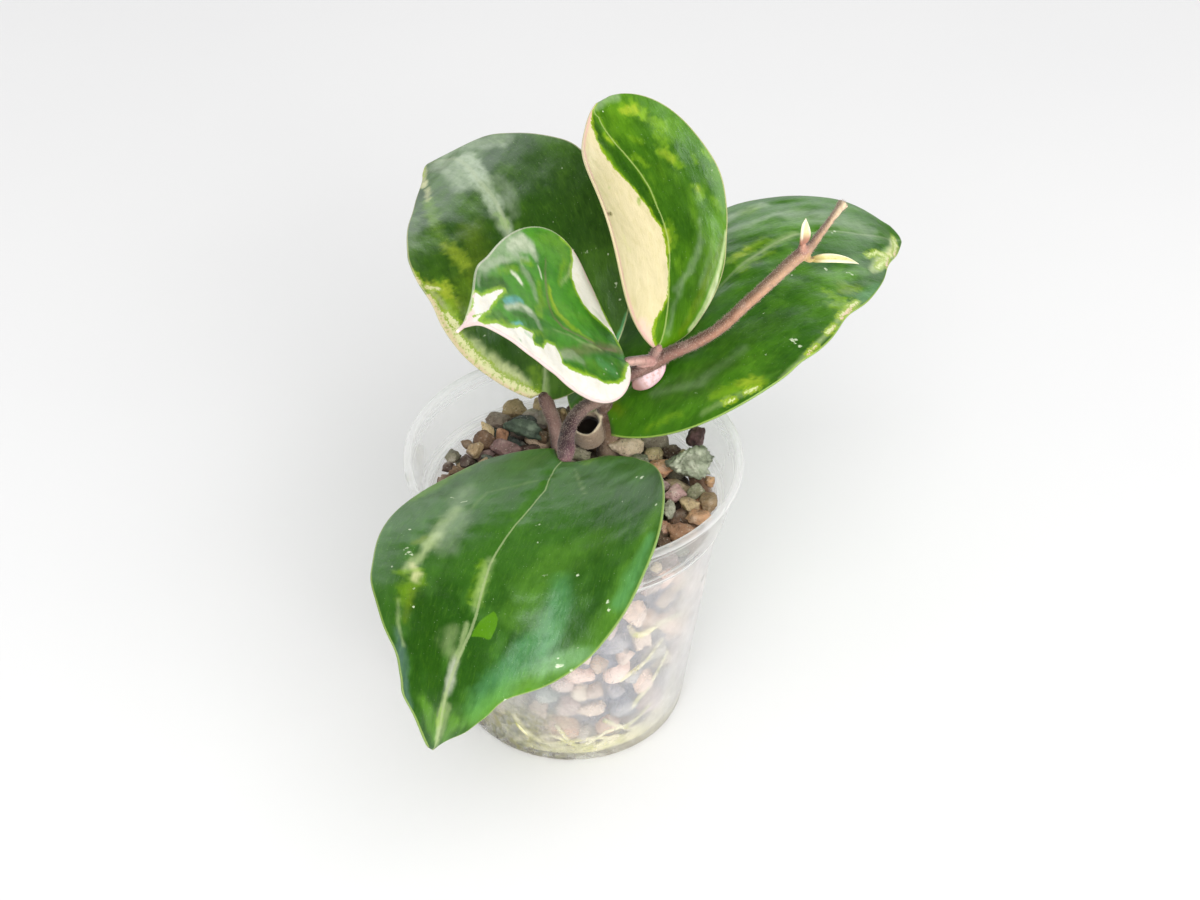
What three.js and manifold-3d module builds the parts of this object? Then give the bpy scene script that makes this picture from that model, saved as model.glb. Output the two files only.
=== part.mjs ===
// Variegated hoya in a clear plastic pot of gravel. Millimetres, +Z up.
// The origin is on the pot's axis, on the surface that the pot stands on.
import * as THREE from 'three';
import { mergeVertices } from 'three/addons/utils/BufferGeometryUtils.js';
import Module from 'manifold-3d';

const wasm = await Module();
wasm.setup();

// Pot
const rimRadius = 45;
const rimInnerRadius = 43;
const potHeight = 85.4;
const lipHeight = 1.6;
const baseRadius = 32.4;
const baseRounding = 1.4;
const floorThickness = 1.2;
const wallThickness = 1.0;
const shoulderZ = 69.7;
const shoulderRadius = 41.3;
const shoulderRise = 1.1;
const neckRadius = 39.8;
const collarTopRadius = 44;
const potSegments = 40;
const drainHoleCount = 8;
const drainHoleRadius = 2.6;
const drainHoleCircle = 22;
const drainHoleSides = 12;
const baseCorner = 0.4;
const rimEase = 0.4;
const rimInnerEase = 0.2;
const rimSideEase = 0.3;
const lipSlope = 0.1;
const ledgeSlope = 0.2;
const innerLedgeHalf = 0.3;
const floorCorner = { wide: 0.2, narrow: 0.6, high: 0.8 };

// Clearances between pieces that touch
const wallGap = 0.35;
const pieceGap = 0.3;

// Gravel
const gravelSegments = 42;
const gravelRows = 10;
const gravelRelief = 1.6;
const gravelCoreTop = 67.5;
const sideStoneCount = 210;
const sideStoneRadius = [3.2, 5.2];
const sideStoneStart = 2;
const sideStoneTurn = [-0.12, 0.12];
const sideStoneDrift = [-1.2, 1.2];
const sideStoneInset = 0.3;
const cavityCorner = { inset: 0.8, z: 2.6 };
const topStoneCount = 52;
const topStoneRadius = [4.2, 5.4];
const topStoneSpread = 35.5;
const topStoneSink = 1.7;
const topStoneTurn = [-0.1, 0.1];
const topStoneLength = [1, 1.25];
const topStoneHeight = [0.7, 0.9];
const topStoneSeed = 100;
const cornerReach = [0.86, 1.1];
const surfaceZ = 71;
const mound = { x: -12, y: 27, rise: 2.4, spread: 18 };

// Leaf blades
const bladeThickness = 1.1;
const edgeThickness = 0.7;
const bladeRows = 20;
const bladeColumns = 8;
const smallBladeThickness = 0.9;
const smallEdgeThickness = 0.7;
const smallBladeRows = 8;
const smallBladeColumns = 6;
const lobePower = 1.5;
const stepsPerRow = 4;
const endMargin = 0.004;
const lobeReach = 0.35;
const leastHalfWidth = 0.5;
const toRadians = Math.PI / 180;
const goldenAngle = 137.5 * toRadians;

// Tubes: sides round and steps along
const stemSides = 8;
const branchSides = 7;
const oldStemSteps = 10;
const buriedStemSteps = 5;
const vineSteps = 32;
const stepsPerPetiolePoint = 1.2;
const stumpSides = 14;
const stumpHoleSides = 12;
const stalkSides = 6;
const stalkSteps = 5;
const rootSides = 4;
const stepsPerRootPoint = 2;

// One leaf each: where its base is, which way it starts, and how it bends, twists and cups.
// An edge entry is side, place along the leaf, spread and amount of one wave of the margin.
const frontLeaf = {
  base: [-2.4, -6.8, 87.7], heading: -119.1, rise: 4.1, roll: 11.2,
  length: 95, width: 70.8, baseTaper: 0.44, tipTaper: 1.02, tipTaperRight: -0.36,
  bend: [20.8, 38.8], sweep: 28.7, twist: [-35.1, -130.2],
  cupLeft: 35.4, cupRight: -15.8, lobe: 5.3, lopside: 0.17,
  edge: [
    [-1, 0.09, 0.05, 1.3], [-1, 0.65, 0.05, 0.9], [-1, 0.82, 0.04, -1.7], [-1, 0.91, 0.025, 1.8],
    [1, 0.02, 0.015, 1.2], [1, 0.42, 0.08, -0.6], [1, 0.64, 0.06, 0.6], [1, 0.8, 0.05, -2.4],
    [1, 0.92, 0.03, 0.8],
  ],
};
const backLeaf = {
  base: [-9.1, 21.2, 87.2], heading: 84.7, rise: 62.2, roll: 2.5,
  length: 107.9, width: 61.1, baseTaper: 0.62, tipTaper: 0.94, tipTaperRight: 0.08,
  bend: [107, 38.4], sweep: 66.6, twist: [-21.6, 1.6],
  cupLeft: 35.5, cupRight: 13.2, lobe: 1.4, lopside: 0.04,
  edge: [
    [-1, 0.84, 0.06, 1.4], [-1, 0.58, 0.06, 1.1], [1, 0.11, 0.05, 0.5], [1, 0.28, 0.06, -1.2],
    [1, 0.45, 0.05, 0.4], [1, 0.72, 0.08, -0.6], [1, 0.97, 0.03, 0.9],
  ],
};
const rightLeaf = {
  base: [7.1, 18.4, 85.2], heading: 53, rise: 34.4, roll: -7.5,
  length: 121.1, width: 69.2, baseTaper: 0.48, tipTaper: 0.84, tipTaperRight: 0.05,
  bend: [31.8, 111.6], sweep: -27.2, twist: [-11.6, 64.2],
  cupLeft: -26.6, cupRight: -3.7, lobe: 6.1, lopside: -0.17,
  edge: [
    [-1, 0.36, 0.04, -0.6], [-1, 0.58, 0.07, -1.5], [-1, 0.87, 0.05, -1.3],
    [1, 0.62, 0.05, 0.9], [1, 0.86, 0.05, 1.1], [1, 0.975, 0.02, 1.6],
  ],
};
const uprightLeaf = {
  base: [21.6, 23.5, 102.8], heading: 52.4, rise: 57.1, roll: 66.7,
  length: 71.5, width: 50.5, baseTaper: 0.74, tipTaper: 0.73, tipTaperRight: -0.27,
  bend: [120.7, -50.7], sweep: 37.4, twist: [8.9, -17.7],
  cupLeft: 37.8, cupRight: 39.5, lobe: 0.7, lopside: 0.11,
  edge: [
    [-1, 0.6, 0.09, 0.9], [-1, 0.08, 0.05, 0.7], [-1, 0.39, 0.06, -0.5],
    [1, 0.6, 0.15, -0.7], [1, 0.92, 0.06, -0.8],
  ],
};
const curledLeaf = {
  base: [13.7, 17.3, 102.6], heading: 204.5, rise: 38.3, roll: -7.2,
  length: 91.6, width: 50.4, baseTaper: 0.64, tipTaper: 1.74, tipTaperRight: 0.1,
  bend: [-38.6, 31], sweep: 49.4, twist: [-29.8, 21.5],
  cupLeft: -14.9, cupRight: 29.6, lobe: -0.2, lopside: -0.18,
  edge: [
    [-1, 0.7, 0.06, 1.5], [-1, 0.1, 0.04, -0.7], [-1, 0.03, 0.015, 0.6],
    [1, 0.48, 0.04, -0.6], [1, 0.85, 0.06, -0.9], [1, 0.64, 0.05, 0.5],
  ],
};
const curledLobe = {
  base: [15.2, 16.9, 94.2], heading: 21.6, rise: 26.5, roll: 50,
  length: 11.4, width: 6.4, baseTaper: 0.6, tipTaper: 0.6, tipTaperRight: 0,
  bend: [20, 20], sweep: 15, twist: [0, 0],
  cupLeft: -40, cupRight: -40, lobe: 0, lopside: 0, edge: [],
};
const youngLeafUp = {
  base: [58.1, 26.2, 134.9], heading: 62.9, rise: 82.1, roll: 74.8,
  length: 7.7, width: 4.6, baseTaper: 0.5, tipTaper: 1, tipTaperRight: 0,
  bend: [-1.4, 13.8], sweep: 0.2, twist: [0, 0],
  cupLeft: 50, cupRight: 50, lobe: 0, lopside: 0, edge: [],
};
const youngLeafSide = {
  base: [60.3, 25.4, 130.9], heading: -3.3, rise: 11.8, roll: 19.5,
  length: 14.7, width: 3.1, baseTaper: 0.5, tipTaper: 1, tipTaperRight: 0,
  bend: [49.5, 68.8], sweep: 14.9, twist: [0, 0],
  cupLeft: 50, cupRight: 50, lobe: 0, lopside: 0, edge: [],
};

// Stem: each branch is a run of points with a radius at each
const oldStem = {
  points: [
    [9, 21.5, 50], [9, 22, 64], [9.2, 22.4, 73], [8.9, 21.5, 80], [8.2, 19.8, 84.6],
    [7.6, 18.4, 87.4], [7.4, 17.4, 90.6],
  ],
  radii: [3.2, 3.3, 3.1, 2.6, 2, 1.8, 2],
};
const buriedStem = {
  points: [[-5.5, 16.8, 57], [2, 19, 53], [9.5, 21.8, 52]],
  radii: [2.2, 2.7, 2.9],
};
const stump = {
  foot: [6.7, 20.9, 75.5], mouth: [3, 16.5, 82.1], radius: 3.7, hole: 2.95, depth: 4.6, opening: 3,
};
const vine = {
  points: [
    [7.4, 17.3, 89.6], [8.7, 17.6, 93.2], [11.6, 18.1, 96.2], [16, 18.9, 98], [20.9, 22, 99.2],
    [25, 22.9, 101.4], [29.5, 23.6, 103.4], [32.9, 23.9, 105.3], [36.3, 24.1, 107.8],
    [39.6, 24.1, 111.1], [43.1, 24.1, 115.6], [48.2, 24.9, 121.2], [52.9, 25.4, 126.7],
    [56.6, 25.6, 131.1], [58.8, 26.7, 132.5], [60.8, 28.6, 133.6], [63.4, 31.5, 135.8],
    [65.7, 34.4, 137.4], [68, 36.9, 139.6], [69, 38, 140.5],
  ],
  radii: [2.1, 2.1, 2, 2, 2.4, 2, 1.8, 1.75, 1.7, 1.7, 1.7, 1.7, 1.7, 1.8, 2, 1.4, 1.15, 1.15, 1.3, 1.6],
};
const petioles = [
  {
    points: [
      [7.6, 17.4, 90.6], [6.2, 15.5, 91.2], [4.3, 13, 91.6], [2.1, 10, 92], [-0.1, 6.5, 91.8],
      [-1.5, 3, 90.7], [-2, -0.5, 89.6], [-2, -3.5, 88.4], [-2.3, -6.4, 87.2],
    ],
    radii: [1.9, 1.9, 1.85, 1.85, 1.9, 2, 2.2, 2.4, 1.6],
  },
  {
    points: [
      [-4, 17.5, 56], [-4.4, 18.6, 66], [-5.3, 20.2, 76], [-6.7, 20.1, 82], [-8.2, 21, 86],
      [-9.1, 21.5, 88],
    ],
    radii: [2, 2, 1.95, 1.9, 2, 1.4],
  },
  { points: [[8.2, 19.6, 85], [8.6, 20.2, 85.8], [9, 20.6, 86.6]], radii: [1.7, 1.5, 1.1] },
  { points: [[20.3, 21.9, 99.5], [21, 22.8, 101.2], [21.9, 23.9, 103.6]], radii: [1.9, 1.5, 1.1] },
  {
    points: [[20.3, 21.9, 99.7], [17.4, 19.7, 101.3], [14.4, 17.6, 102.5], [12.8, 16.9, 103]],
    radii: [1.8, 1.4, 1.3, 0.9],
  },
];
const dryStalk = {
  points: [[-2.2, 28, 60], [-2.2, 28, 72], [-3, 26.2, 76], [-3.6, 24.2, 80]],
  radii: [1.1, 1.1, 1, 0.8],
};

// Roots: an inner run from the buried stem, then places on the wall as angle and height
const rootRadius = 0.9;
const rootWallInset = 1.6;
const rootStart = [5, 18.6, 48.6];
const roots = [
  { from: [[6, 14, 50], [12, -6, 52]], wall: [[-62, 50], [-45, 48], [-27, 43]] },
  {
    from: [[2, 14, 47], [-6, -4, 34]],
    wall: [[-118, 16], [-97, 4.4], [-72, 4], [-48, 5], [-30, 12], [-14, 27]],
  },
  { from: [[-4, 12, 50], [-16, -6, 40]], wall: [[-136, 30], [-124, 18], [-112, 12]] },
  { from: [[12, 26, 46]], wall: [[78, 30], [96, 16], [124, 6]] },
];

// Larger stones on top: centre, half sizes and turn about Z
const largeStones = {
  stone_sage: { at: [30.6, 9.6, 74.6], half: [7.2, 4.6, 3.9], turn: 12, seed: 5, colour: 0x8d9a7f },
  stone_slate: { at: [-14.5, 22.4, 75.2], half: [6, 2.6, 2.9], turn: -14, seed: 9, colour: 0x4f5a4b },
  stone_brown: { at: [33.2, 18.6, 76.2], half: [3.3, 2.9, 3.6], turn: 30, seed: 14, colour: 0x54403a },
};

// A small repeatable random source
function seeded(seed) {
  let state = seed;
  return () => {
    state = (state + 0x6d2b79f5) | 0;
    let mixed = Math.imul(state ^ (state >>> 15), 1 | state);
    mixed = (mixed + Math.imul(mixed ^ (mixed >>> 7), 61 | mixed)) ^ mixed;
    return ((mixed ^ (mixed >>> 14)) >>> 0) / 4294967296;
  };
}

function between(range, share) {
  return range[0] + (range[1] - range[0]) * share;
}

function toSolid(geometry) {
  const bare = geometry.clone();
  bare.deleteAttribute('normal');
  bare.deleteAttribute('uv');
  const merged = mergeVertices(bare, 1e-4);
  return new wasm.Manifold(new wasm.Mesh({
    numProp: 3,
    vertProperties: new Float32Array(merged.attributes.position.array),
    triVerts: new Uint32Array(merged.index.array),
  }));
}

function toGeometry(solid) {
  const mesh = solid.getMesh();
  const geometry = new THREE.BufferGeometry();
  geometry.setAttribute('position', new THREE.BufferAttribute(mesh.vertProperties, 3));
  geometry.setIndex(new THREE.BufferAttribute(mesh.triVerts, 1));
  geometry.computeVertexNormals();
  return geometry;
}

function makeMesh(name, geometry, colour, roughness, extra = {}) {
  const material = new THREE.MeshStandardMaterial({ color: colour, roughness, metalness: 0, ...extra });
  const mesh = new THREE.Mesh(geometry, material);
  mesh.name = name;
  return mesh;
}

// A closed tube along a smooth curve, with rounded-off ends
function tubeGeometry({ points, radii }, sides, steps, grow = 0) {
  const curve = new THREE.CatmullRomCurve3(points.map((p) => new THREE.Vector3(...p)));
  const frames = curve.computeFrenetFrames(steps, false);
  const last = radii.length - 1;
  const positions = [];
  const indices = [];
  for (let i = 0; i <= steps; i++) {
    const share = i / steps;
    const centre = curve.getPointAt(share);
    if (i === 0) centre.addScaledVector(frames.tangents[0], -grow);
    if (i === steps) centre.addScaledVector(frames.tangents[steps], grow);
    const place = curve.getUtoTmapping(share) * last;
    const lower = Math.min(Math.floor(place), last - 1);
    const radius = between([radii[lower], radii[lower + 1]], place - lower) + grow;
    for (let k = 0; k < sides; k++) {
      const angle = (k / sides) * 2 * Math.PI;
      const point = centre.clone()
        .addScaledVector(frames.normals[i], Math.cos(angle) * radius)
        .addScaledVector(frames.binormals[i], Math.sin(angle) * radius);
      positions.push(point.x, point.y, point.z);
    }
  }
  for (let i = 0; i < steps; i++) {
    for (let k = 0; k < sides; k++) {
      const a = i * sides + k;
      const b = i * sides + ((k + 1) % sides);
      indices.push(a, b, b + sides, a, b + sides, a + sides);
    }
  }
  const end = steps * sides;
  for (let k = 1; k < sides - 1; k++) {
    indices.push(0, k + 1, k);
    indices.push(end, end + k, end + k + 1);
  }
  const geometry = new THREE.BufferGeometry();
  geometry.setAttribute('position', new THREE.Float32BufferAttribute(positions, 3));
  geometry.setIndex(indices);
  return geometry;
}

function tubeSolid(run, sides, steps, grow = 0) {
  return toSolid(tubeGeometry(run, sides, steps, grow));
}

// Leaf: turns a frame of tangent, side and normal by small bend, sweep and twist angles
function turnFrame(frame, bend, sweep, twist) {
  const { tangent, side, normal } = frame;
  const mix = (a, b, angle) => {
    const first = a.clone().multiplyScalar(Math.cos(angle)).addScaledVector(b, Math.sin(angle));
    const second = b.clone().multiplyScalar(Math.cos(angle)).addScaledVector(a, -Math.sin(angle));
    a.copy(first);
    b.copy(second);
  };
  mix(tangent, normal, -bend);
  mix(tangent, side, sweep);
  mix(side, normal, twist);
}

function startFrame(leaf) {
  const heading = leaf.heading * toRadians;
  const rise = leaf.rise * toRadians;
  const tangent = new THREE.Vector3(
    Math.cos(rise) * Math.cos(heading), Math.cos(rise) * Math.sin(heading), Math.sin(rise));
  const side = new THREE.Vector3(-Math.sin(heading), Math.cos(heading), 0);
  const normal = new THREE.Vector3().crossVectors(tangent, side);
  const frame = { place: new THREE.Vector3(...leaf.base), tangent, side, normal };
  turnFrame(frame, 0, 0, leaf.roll * toRadians);
  return frame;
}

// The frames of the midrib at each share of the length
function midribFrames(leaf, shares) {
  const frame = startFrame(leaf);
  const frames = [];
  let along = 0;
  for (const share of shares) {
    const step = (share - along) / stepsPerRow;
    for (let k = 0; k < stepsPerRow; k++) {
      const middle = along + step / 2;
      const half = (step / 2) * toRadians;
      const [bend, twist] = [between(leaf.bend, middle), between(leaf.twist, middle)];
      const turns = [bend * half, leaf.sweep * half, twist * half];
      turnFrame(frame, ...turns);
      frame.place.addScaledVector(frame.tangent, step * leaf.length);
      turnFrame(frame, ...turns);
      along += step;
    }
    frames.push({
      place: frame.place.clone(), tangent: frame.tangent.clone(),
      side: frame.side.clone(), normal: frame.normal.clone(),
    });
  }
  return frames;
}

function halfWidth(leaf, share, sign) {
  const tipTaper = leaf.tipTaper + (sign < 0 ? leaf.tipTaperRight : 0);
  const widest = leaf.baseTaper / (leaf.baseTaper + tipTaper);
  let width = (leaf.width / 2) * (share / widest) ** leaf.baseTaper;
  width *= ((1 - share) / (1 - widest)) ** tipTaper;
  for (const [side, place, spread, amount] of leaf.edge) {
    if (side === sign) width += amount * Math.exp(-(((share - place) / spread) ** 2));
  }
  return Math.max(width, leastHalfWidth) * (1 + leaf.lopside * sign);
}

// A point of the blade: across runs from -1 to 1, lift is along the blade's own normal
function bladePoint(leaf, frame, share, across, lift) {
  const sign = across < 0 ? -1 : 1;
  const cup = (sign > 0 ? leaf.cupLeft : leaf.cupRight) * toRadians / (leaf.width / 2);
  const arc = Math.abs(across) * halfWidth(leaf, share, sign);
  const out = Math.abs(cup) < 1e-6 ? arc : Math.sin(cup * arc) / cup;
  const up = Math.abs(cup) < 1e-6 ? 0 : (1 - Math.cos(cup * arc)) / cup;
  const back = leaf.lobe * Math.max(0, 1 - share / lobeReach) ** 2 * Math.abs(across) ** lobePower;
  const tilt = cup * arc;
  return frame.place.clone()
    .addScaledVector(frame.side, sign * (out - lift * Math.sin(tilt)))
    .addScaledVector(frame.normal, up + lift * Math.cos(tilt))
    .addScaledVector(frame.tangent, -back);
}

function bladeGeometry(leaf, rows, columns, thickness, edge) {
  const shares = [];
  for (let i = 0; i <= rows; i++) {
    const share = 0.5 - 0.5 * Math.cos((Math.PI * i) / rows);
    shares.push(endMargin + (1 - 2 * endMargin) * share);
  }
  const frames = midribFrames(leaf, shares);
  const positions = [];
  const perFace = (rows + 1) * (columns + 1);
  for (const face of [1, -1]) {
    for (let i = 0; i <= rows; i++) {
      for (let j = 0; j <= columns; j++) {
        const across = (2 * j) / columns - 1;
        const half = (thickness + (edge - thickness) * across ** 4) / 2;
        const point = bladePoint(leaf, frames[i], shares[i], across, face * half);
        positions.push(point.x, point.y, point.z);
      }
    }
  }
  const indices = [];
  const at = (i, j) => i * (columns + 1) + j;
  for (let i = 0; i < rows; i++) {
    for (let j = 0; j < columns; j++) {
      const [a, b, c, d] = [at(i, j), at(i, j + 1), at(i + 1, j + 1), at(i + 1, j)];
      indices.push(a, c, b, a, d, c);
      indices.push(a + perFace, b + perFace, c + perFace, a + perFace, c + perFace, d + perFace);
    }
  }
  const border = [];
  for (let j = 0; j < columns; j++) border.push(at(0, j));
  for (let i = 0; i < rows; i++) border.push(at(i, columns));
  for (let j = columns; j > 0; j--) border.push(at(rows, j));
  for (let i = rows; i > 0; i--) border.push(at(i, 0));
  border.forEach((a, k) => {
    const b = border[(k + 1) % border.length];
    indices.push(a, b, b + perFace, a, b + perFace, a + perFace);
  });
  const geometry = new THREE.BufferGeometry();
  geometry.setAttribute('position', new THREE.Float32BufferAttribute(positions, 3));
  geometry.setIndex(indices);
  return geometry;
}

function potSolid() {
  const lipBottom = potHeight - lipHeight;
  const ledgeTop = shoulderZ + shoulderRise;
  const inner = baseRadius - wallThickness;
  const profile = [
    [0, 0], [baseRadius - baseRounding, 0], [baseRadius - baseCorner, baseCorner], [baseRadius, baseRounding],
    [neckRadius, shoulderZ], [shoulderRadius, shoulderZ + ledgeSlope],
    [shoulderRadius + ledgeSlope, ledgeTop], [collarTopRadius, lipBottom],
    [rimRadius, lipBottom + lipSlope], [rimRadius, potHeight - rimSideEase],
    [rimRadius - rimEase, potHeight], [rimInnerRadius + rimInnerEase, potHeight],
    [rimInnerRadius, potHeight - rimEase],
    [shoulderRadius - wallThickness, ledgeTop + innerLedgeHalf],
    [neckRadius - wallThickness, ledgeTop - innerLedgeHalf],
    [inner + floorCorner.wide, floorThickness + floorCorner.high],
    [inner - floorCorner.narrow, floorThickness], [0, floorThickness],
  ];
  const lathe = new THREE.LatheGeometry(profile.map(([r, z]) => new THREE.Vector2(r, z)), potSegments);
  lathe.rotateX(Math.PI / 2);
  let solid = toSolid(lathe);
  for (let k = 0; k < drainHoleCount; k++) {
    const angle = ((k + 0.5) / drainHoleCount) * 2 * Math.PI;
    const drill = new THREE.CylinderGeometry(
      drainHoleRadius, drainHoleRadius, 4 * floorThickness, drainHoleSides);
    drill.rotateX(Math.PI / 2);
    drill.translate(drainHoleCircle * Math.cos(angle), drainHoleCircle * Math.sin(angle), 0);
    solid = solid.subtract(toSolid(drill));
  }
  return solid;
}

// Inner radius of the pot below its shoulder, less the gap
function cavityRadius(z) {
  const share = (z - floorThickness) / (shoulderZ - floorThickness);
  return between([baseRadius, neckRadius], share) - wallThickness - wallGap;
}

function cavitySolid() {
  const bottom = floorThickness + wallGap;
  const ledge = shoulderZ + shoulderRise + wallGap;
  const collarRadius = shoulderRadius - wallThickness - wallGap;
  const profile = [
    [0, bottom], [cavityRadius(sideStoneStart) - cavityCorner.inset, bottom],
    [cavityRadius(cavityCorner.z), cavityCorner.z], [cavityRadius(shoulderZ), ledge - innerLedgeHalf],
    [collarRadius, ledge + innerLedgeHalf], [rimInnerRadius - wallGap, potHeight], [0, potHeight],
  ];
  const lathe = new THREE.LatheGeometry(profile.map(([r, z]) => new THREE.Vector2(r, z)), potSegments);
  lathe.rotateX(Math.PI / 2);
  return toSolid(lathe);
}

// Stones pressed against the wall, as places on the unrolled side of the filling
function sideStones() {
  const random = seeded(41);
  const stones = [];
  for (let k = 0; k < sideStoneCount; k++) {
    const z = between([sideStoneStart, gravelCoreTop], (k + 0.5) / sideStoneCount);
    stones.push({
      angle: k * goldenAngle + between(sideStoneTurn, random()),
      z: z + between(sideStoneDrift, random()),
      radius: between(sideStoneRadius, random()),
    });
  }
  return stones;
}

// How far the nearest stone stands out at a place of the side, from 0 to 1
function sideBulge(stones, angle, z) {
  let bulge = 0;
  for (const stone of stones) {
    const turn = Math.atan2(Math.sin(angle - stone.angle), Math.cos(angle - stone.angle));
    const away = Math.hypot(turn * cavityRadius(z), z - stone.z) / stone.radius;
    if (away < 1) bulge = Math.max(bulge, Math.sqrt(1 - away * away));
  }
  return bulge;
}

function gravelCore() {
  const stones = sideStones();
  const positions = [];
  const indices = [];
  const bottom = floorThickness + wallGap;
  for (let i = 0; i <= gravelRows; i++) {
    const z = between([bottom, gravelCoreTop], i / gravelRows);
    for (let k = 0; k < gravelSegments; k++) {
      const angle = (k / gravelSegments) * 2 * Math.PI;
      const radius = cavityRadius(z) - sideStoneInset - gravelRelief * (1 - sideBulge(stones, angle, z));
      positions.push(radius * Math.cos(angle), radius * Math.sin(angle), z);
    }
  }
  for (let i = 0; i < gravelRows; i++) {
    for (let k = 0; k < gravelSegments; k++) {
      const a = i * gravelSegments + k;
      const b = i * gravelSegments + ((k + 1) % gravelSegments);
      indices.push(a, b, b + gravelSegments, a, b + gravelSegments, a + gravelSegments);
    }
  }
  const floorCentre = positions.length / 3;
  positions.push(0, 0, bottom, 0, 0, gravelCoreTop);
  const top = gravelRows * gravelSegments;
  for (let k = 0; k < gravelSegments; k++) {
    const next = (k + 1) % gravelSegments;
    indices.push(floorCentre, next, k, floorCentre + 1, top + k, top + next);
  }
  const geometry = new THREE.BufferGeometry();
  geometry.setAttribute('position', new THREE.Float32BufferAttribute(positions, 3));
  geometry.setIndex(indices);
  return toSolid(geometry);
}

// An angular stone: a squashed icosahedron with its corners moved a little
function stoneSolid(centre, half, turn, seed, grow = 0) {
  const random = seeded(seed);
  const bare = new THREE.IcosahedronGeometry(1, 0).deleteAttribute('uv').deleteAttribute('normal');
  const stone = mergeVertices(bare);
  const spin = new THREE.Euler(random() * 2 * Math.PI, random() * 2 * Math.PI, random() * 2 * Math.PI);
  stone.applyMatrix4(new THREE.Matrix4().makeRotationFromEuler(spin));
  const corners = stone.attributes.position;
  for (let k = 0; k < corners.count; k++) {
    const scale = between(cornerReach, random());
    corners.setXYZ(k, corners.getX(k) * scale, corners.getY(k) * scale, corners.getZ(k) * scale);
  }
  stone.scale(half[0] + grow, half[1] + grow, half[2] + grow);
  stone.rotateZ(turn * toRadians);
  stone.translate(...centre);
  return toSolid(stone);
}

function gravelSurface(x, y) {
  const away = ((x - mound.x) ** 2 + (y - mound.y) ** 2) / (2 * mound.spread ** 2);
  return surfaceZ + mound.rise * Math.exp(-away);
}

function topStones() {
  const random = seeded(23);
  const stones = [];
  for (let k = 0; k < topStoneCount; k++) {
    const reach = topStoneSpread * Math.sqrt((k + 0.5) / topStoneCount);
    const angle = k * goldenAngle + between(topStoneTurn, random());
    const x = reach * Math.cos(angle);
    const y = reach * Math.sin(angle);
    const size = between(topStoneRadius, random());
    const half = [size * between(topStoneLength, random()), size, size * between(topStoneHeight, random())];
    const centre = [x, y, gravelSurface(x, y) - topStoneSink];
    stones.push(stoneSolid(centre, half, random() * 180, topStoneSeed + k));
  }
  return stones;
}

function stumpTools() {
  const foot = new THREE.Vector3(...stump.foot);
  const mouth = new THREE.Vector3(...stump.mouth);
  const axis = mouth.clone().sub(foot).normalize();
  const turn = new THREE.Quaternion().setFromUnitVectors(new THREE.Vector3(0, 1, 0), axis);
  const rod = (radius, from, to, sides) => {
    const geometry = new THREE.CylinderGeometry(radius, radius, from.distanceTo(to), sides);
    geometry.applyQuaternion(turn);
    geometry.translate(...from.clone().add(to).multiplyScalar(0.5).toArray());
    return toSolid(geometry);
  };
  const holeFoot = mouth.clone().addScaledVector(axis, -stump.depth);
  const holeMouth = mouth.clone().addScaledVector(axis, stump.opening);
  return {
    body: (grow) => rod(stump.radius + grow, foot, mouth.clone().addScaledVector(axis, grow), stumpSides),
    hole: rod(stump.hole, holeFoot, holeMouth, stumpHoleSides),
  };
}

// The whole stem, with every radius larger by grow
function stemSolid(grow) {
  const tools = stumpTools();
  const branches = [
    tubeSolid(oldStem, stemSides, oldStemSteps, grow),
    tubeSolid(buriedStem, stemSides, buriedStemSteps, grow),
    tubeSolid(vine, branchSides, vineSteps, grow), tools.body(grow),
    ...petioles.map((run) => {
      const steps = Math.ceil(stepsPerPetiolePoint * run.points.length);
      return tubeSolid(run, branchSides, steps, grow);
    }),
  ];
  const whole = wasm.Manifold.union(branches);
  return grow > 0 ? whole : whole.subtract(tools.hole);
}

// The roots, with every radius larger by grow
function rootsSolid(grow) {
  const runs = roots.map(({ from, wall }) => ({
    points: [...from, ...wall.map(([degrees, z]) => {
      const reach = cavityRadius(z) - rootWallInset;
      return [reach * Math.cos(degrees * toRadians), reach * Math.sin(degrees * toRadians), z];
    })],
    radii: [],
  }));
  for (const run of runs) {
    run.points.unshift(rootStart);
    run.radii = run.points.map(() => rootRadius);
  }
  return wasm.Manifold.union(runs.map((run) => {
    const steps = stepsPerRootPoint * run.points.length;
    return tubeSolid(run, rootSides, steps, grow);
  }));
}

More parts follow.
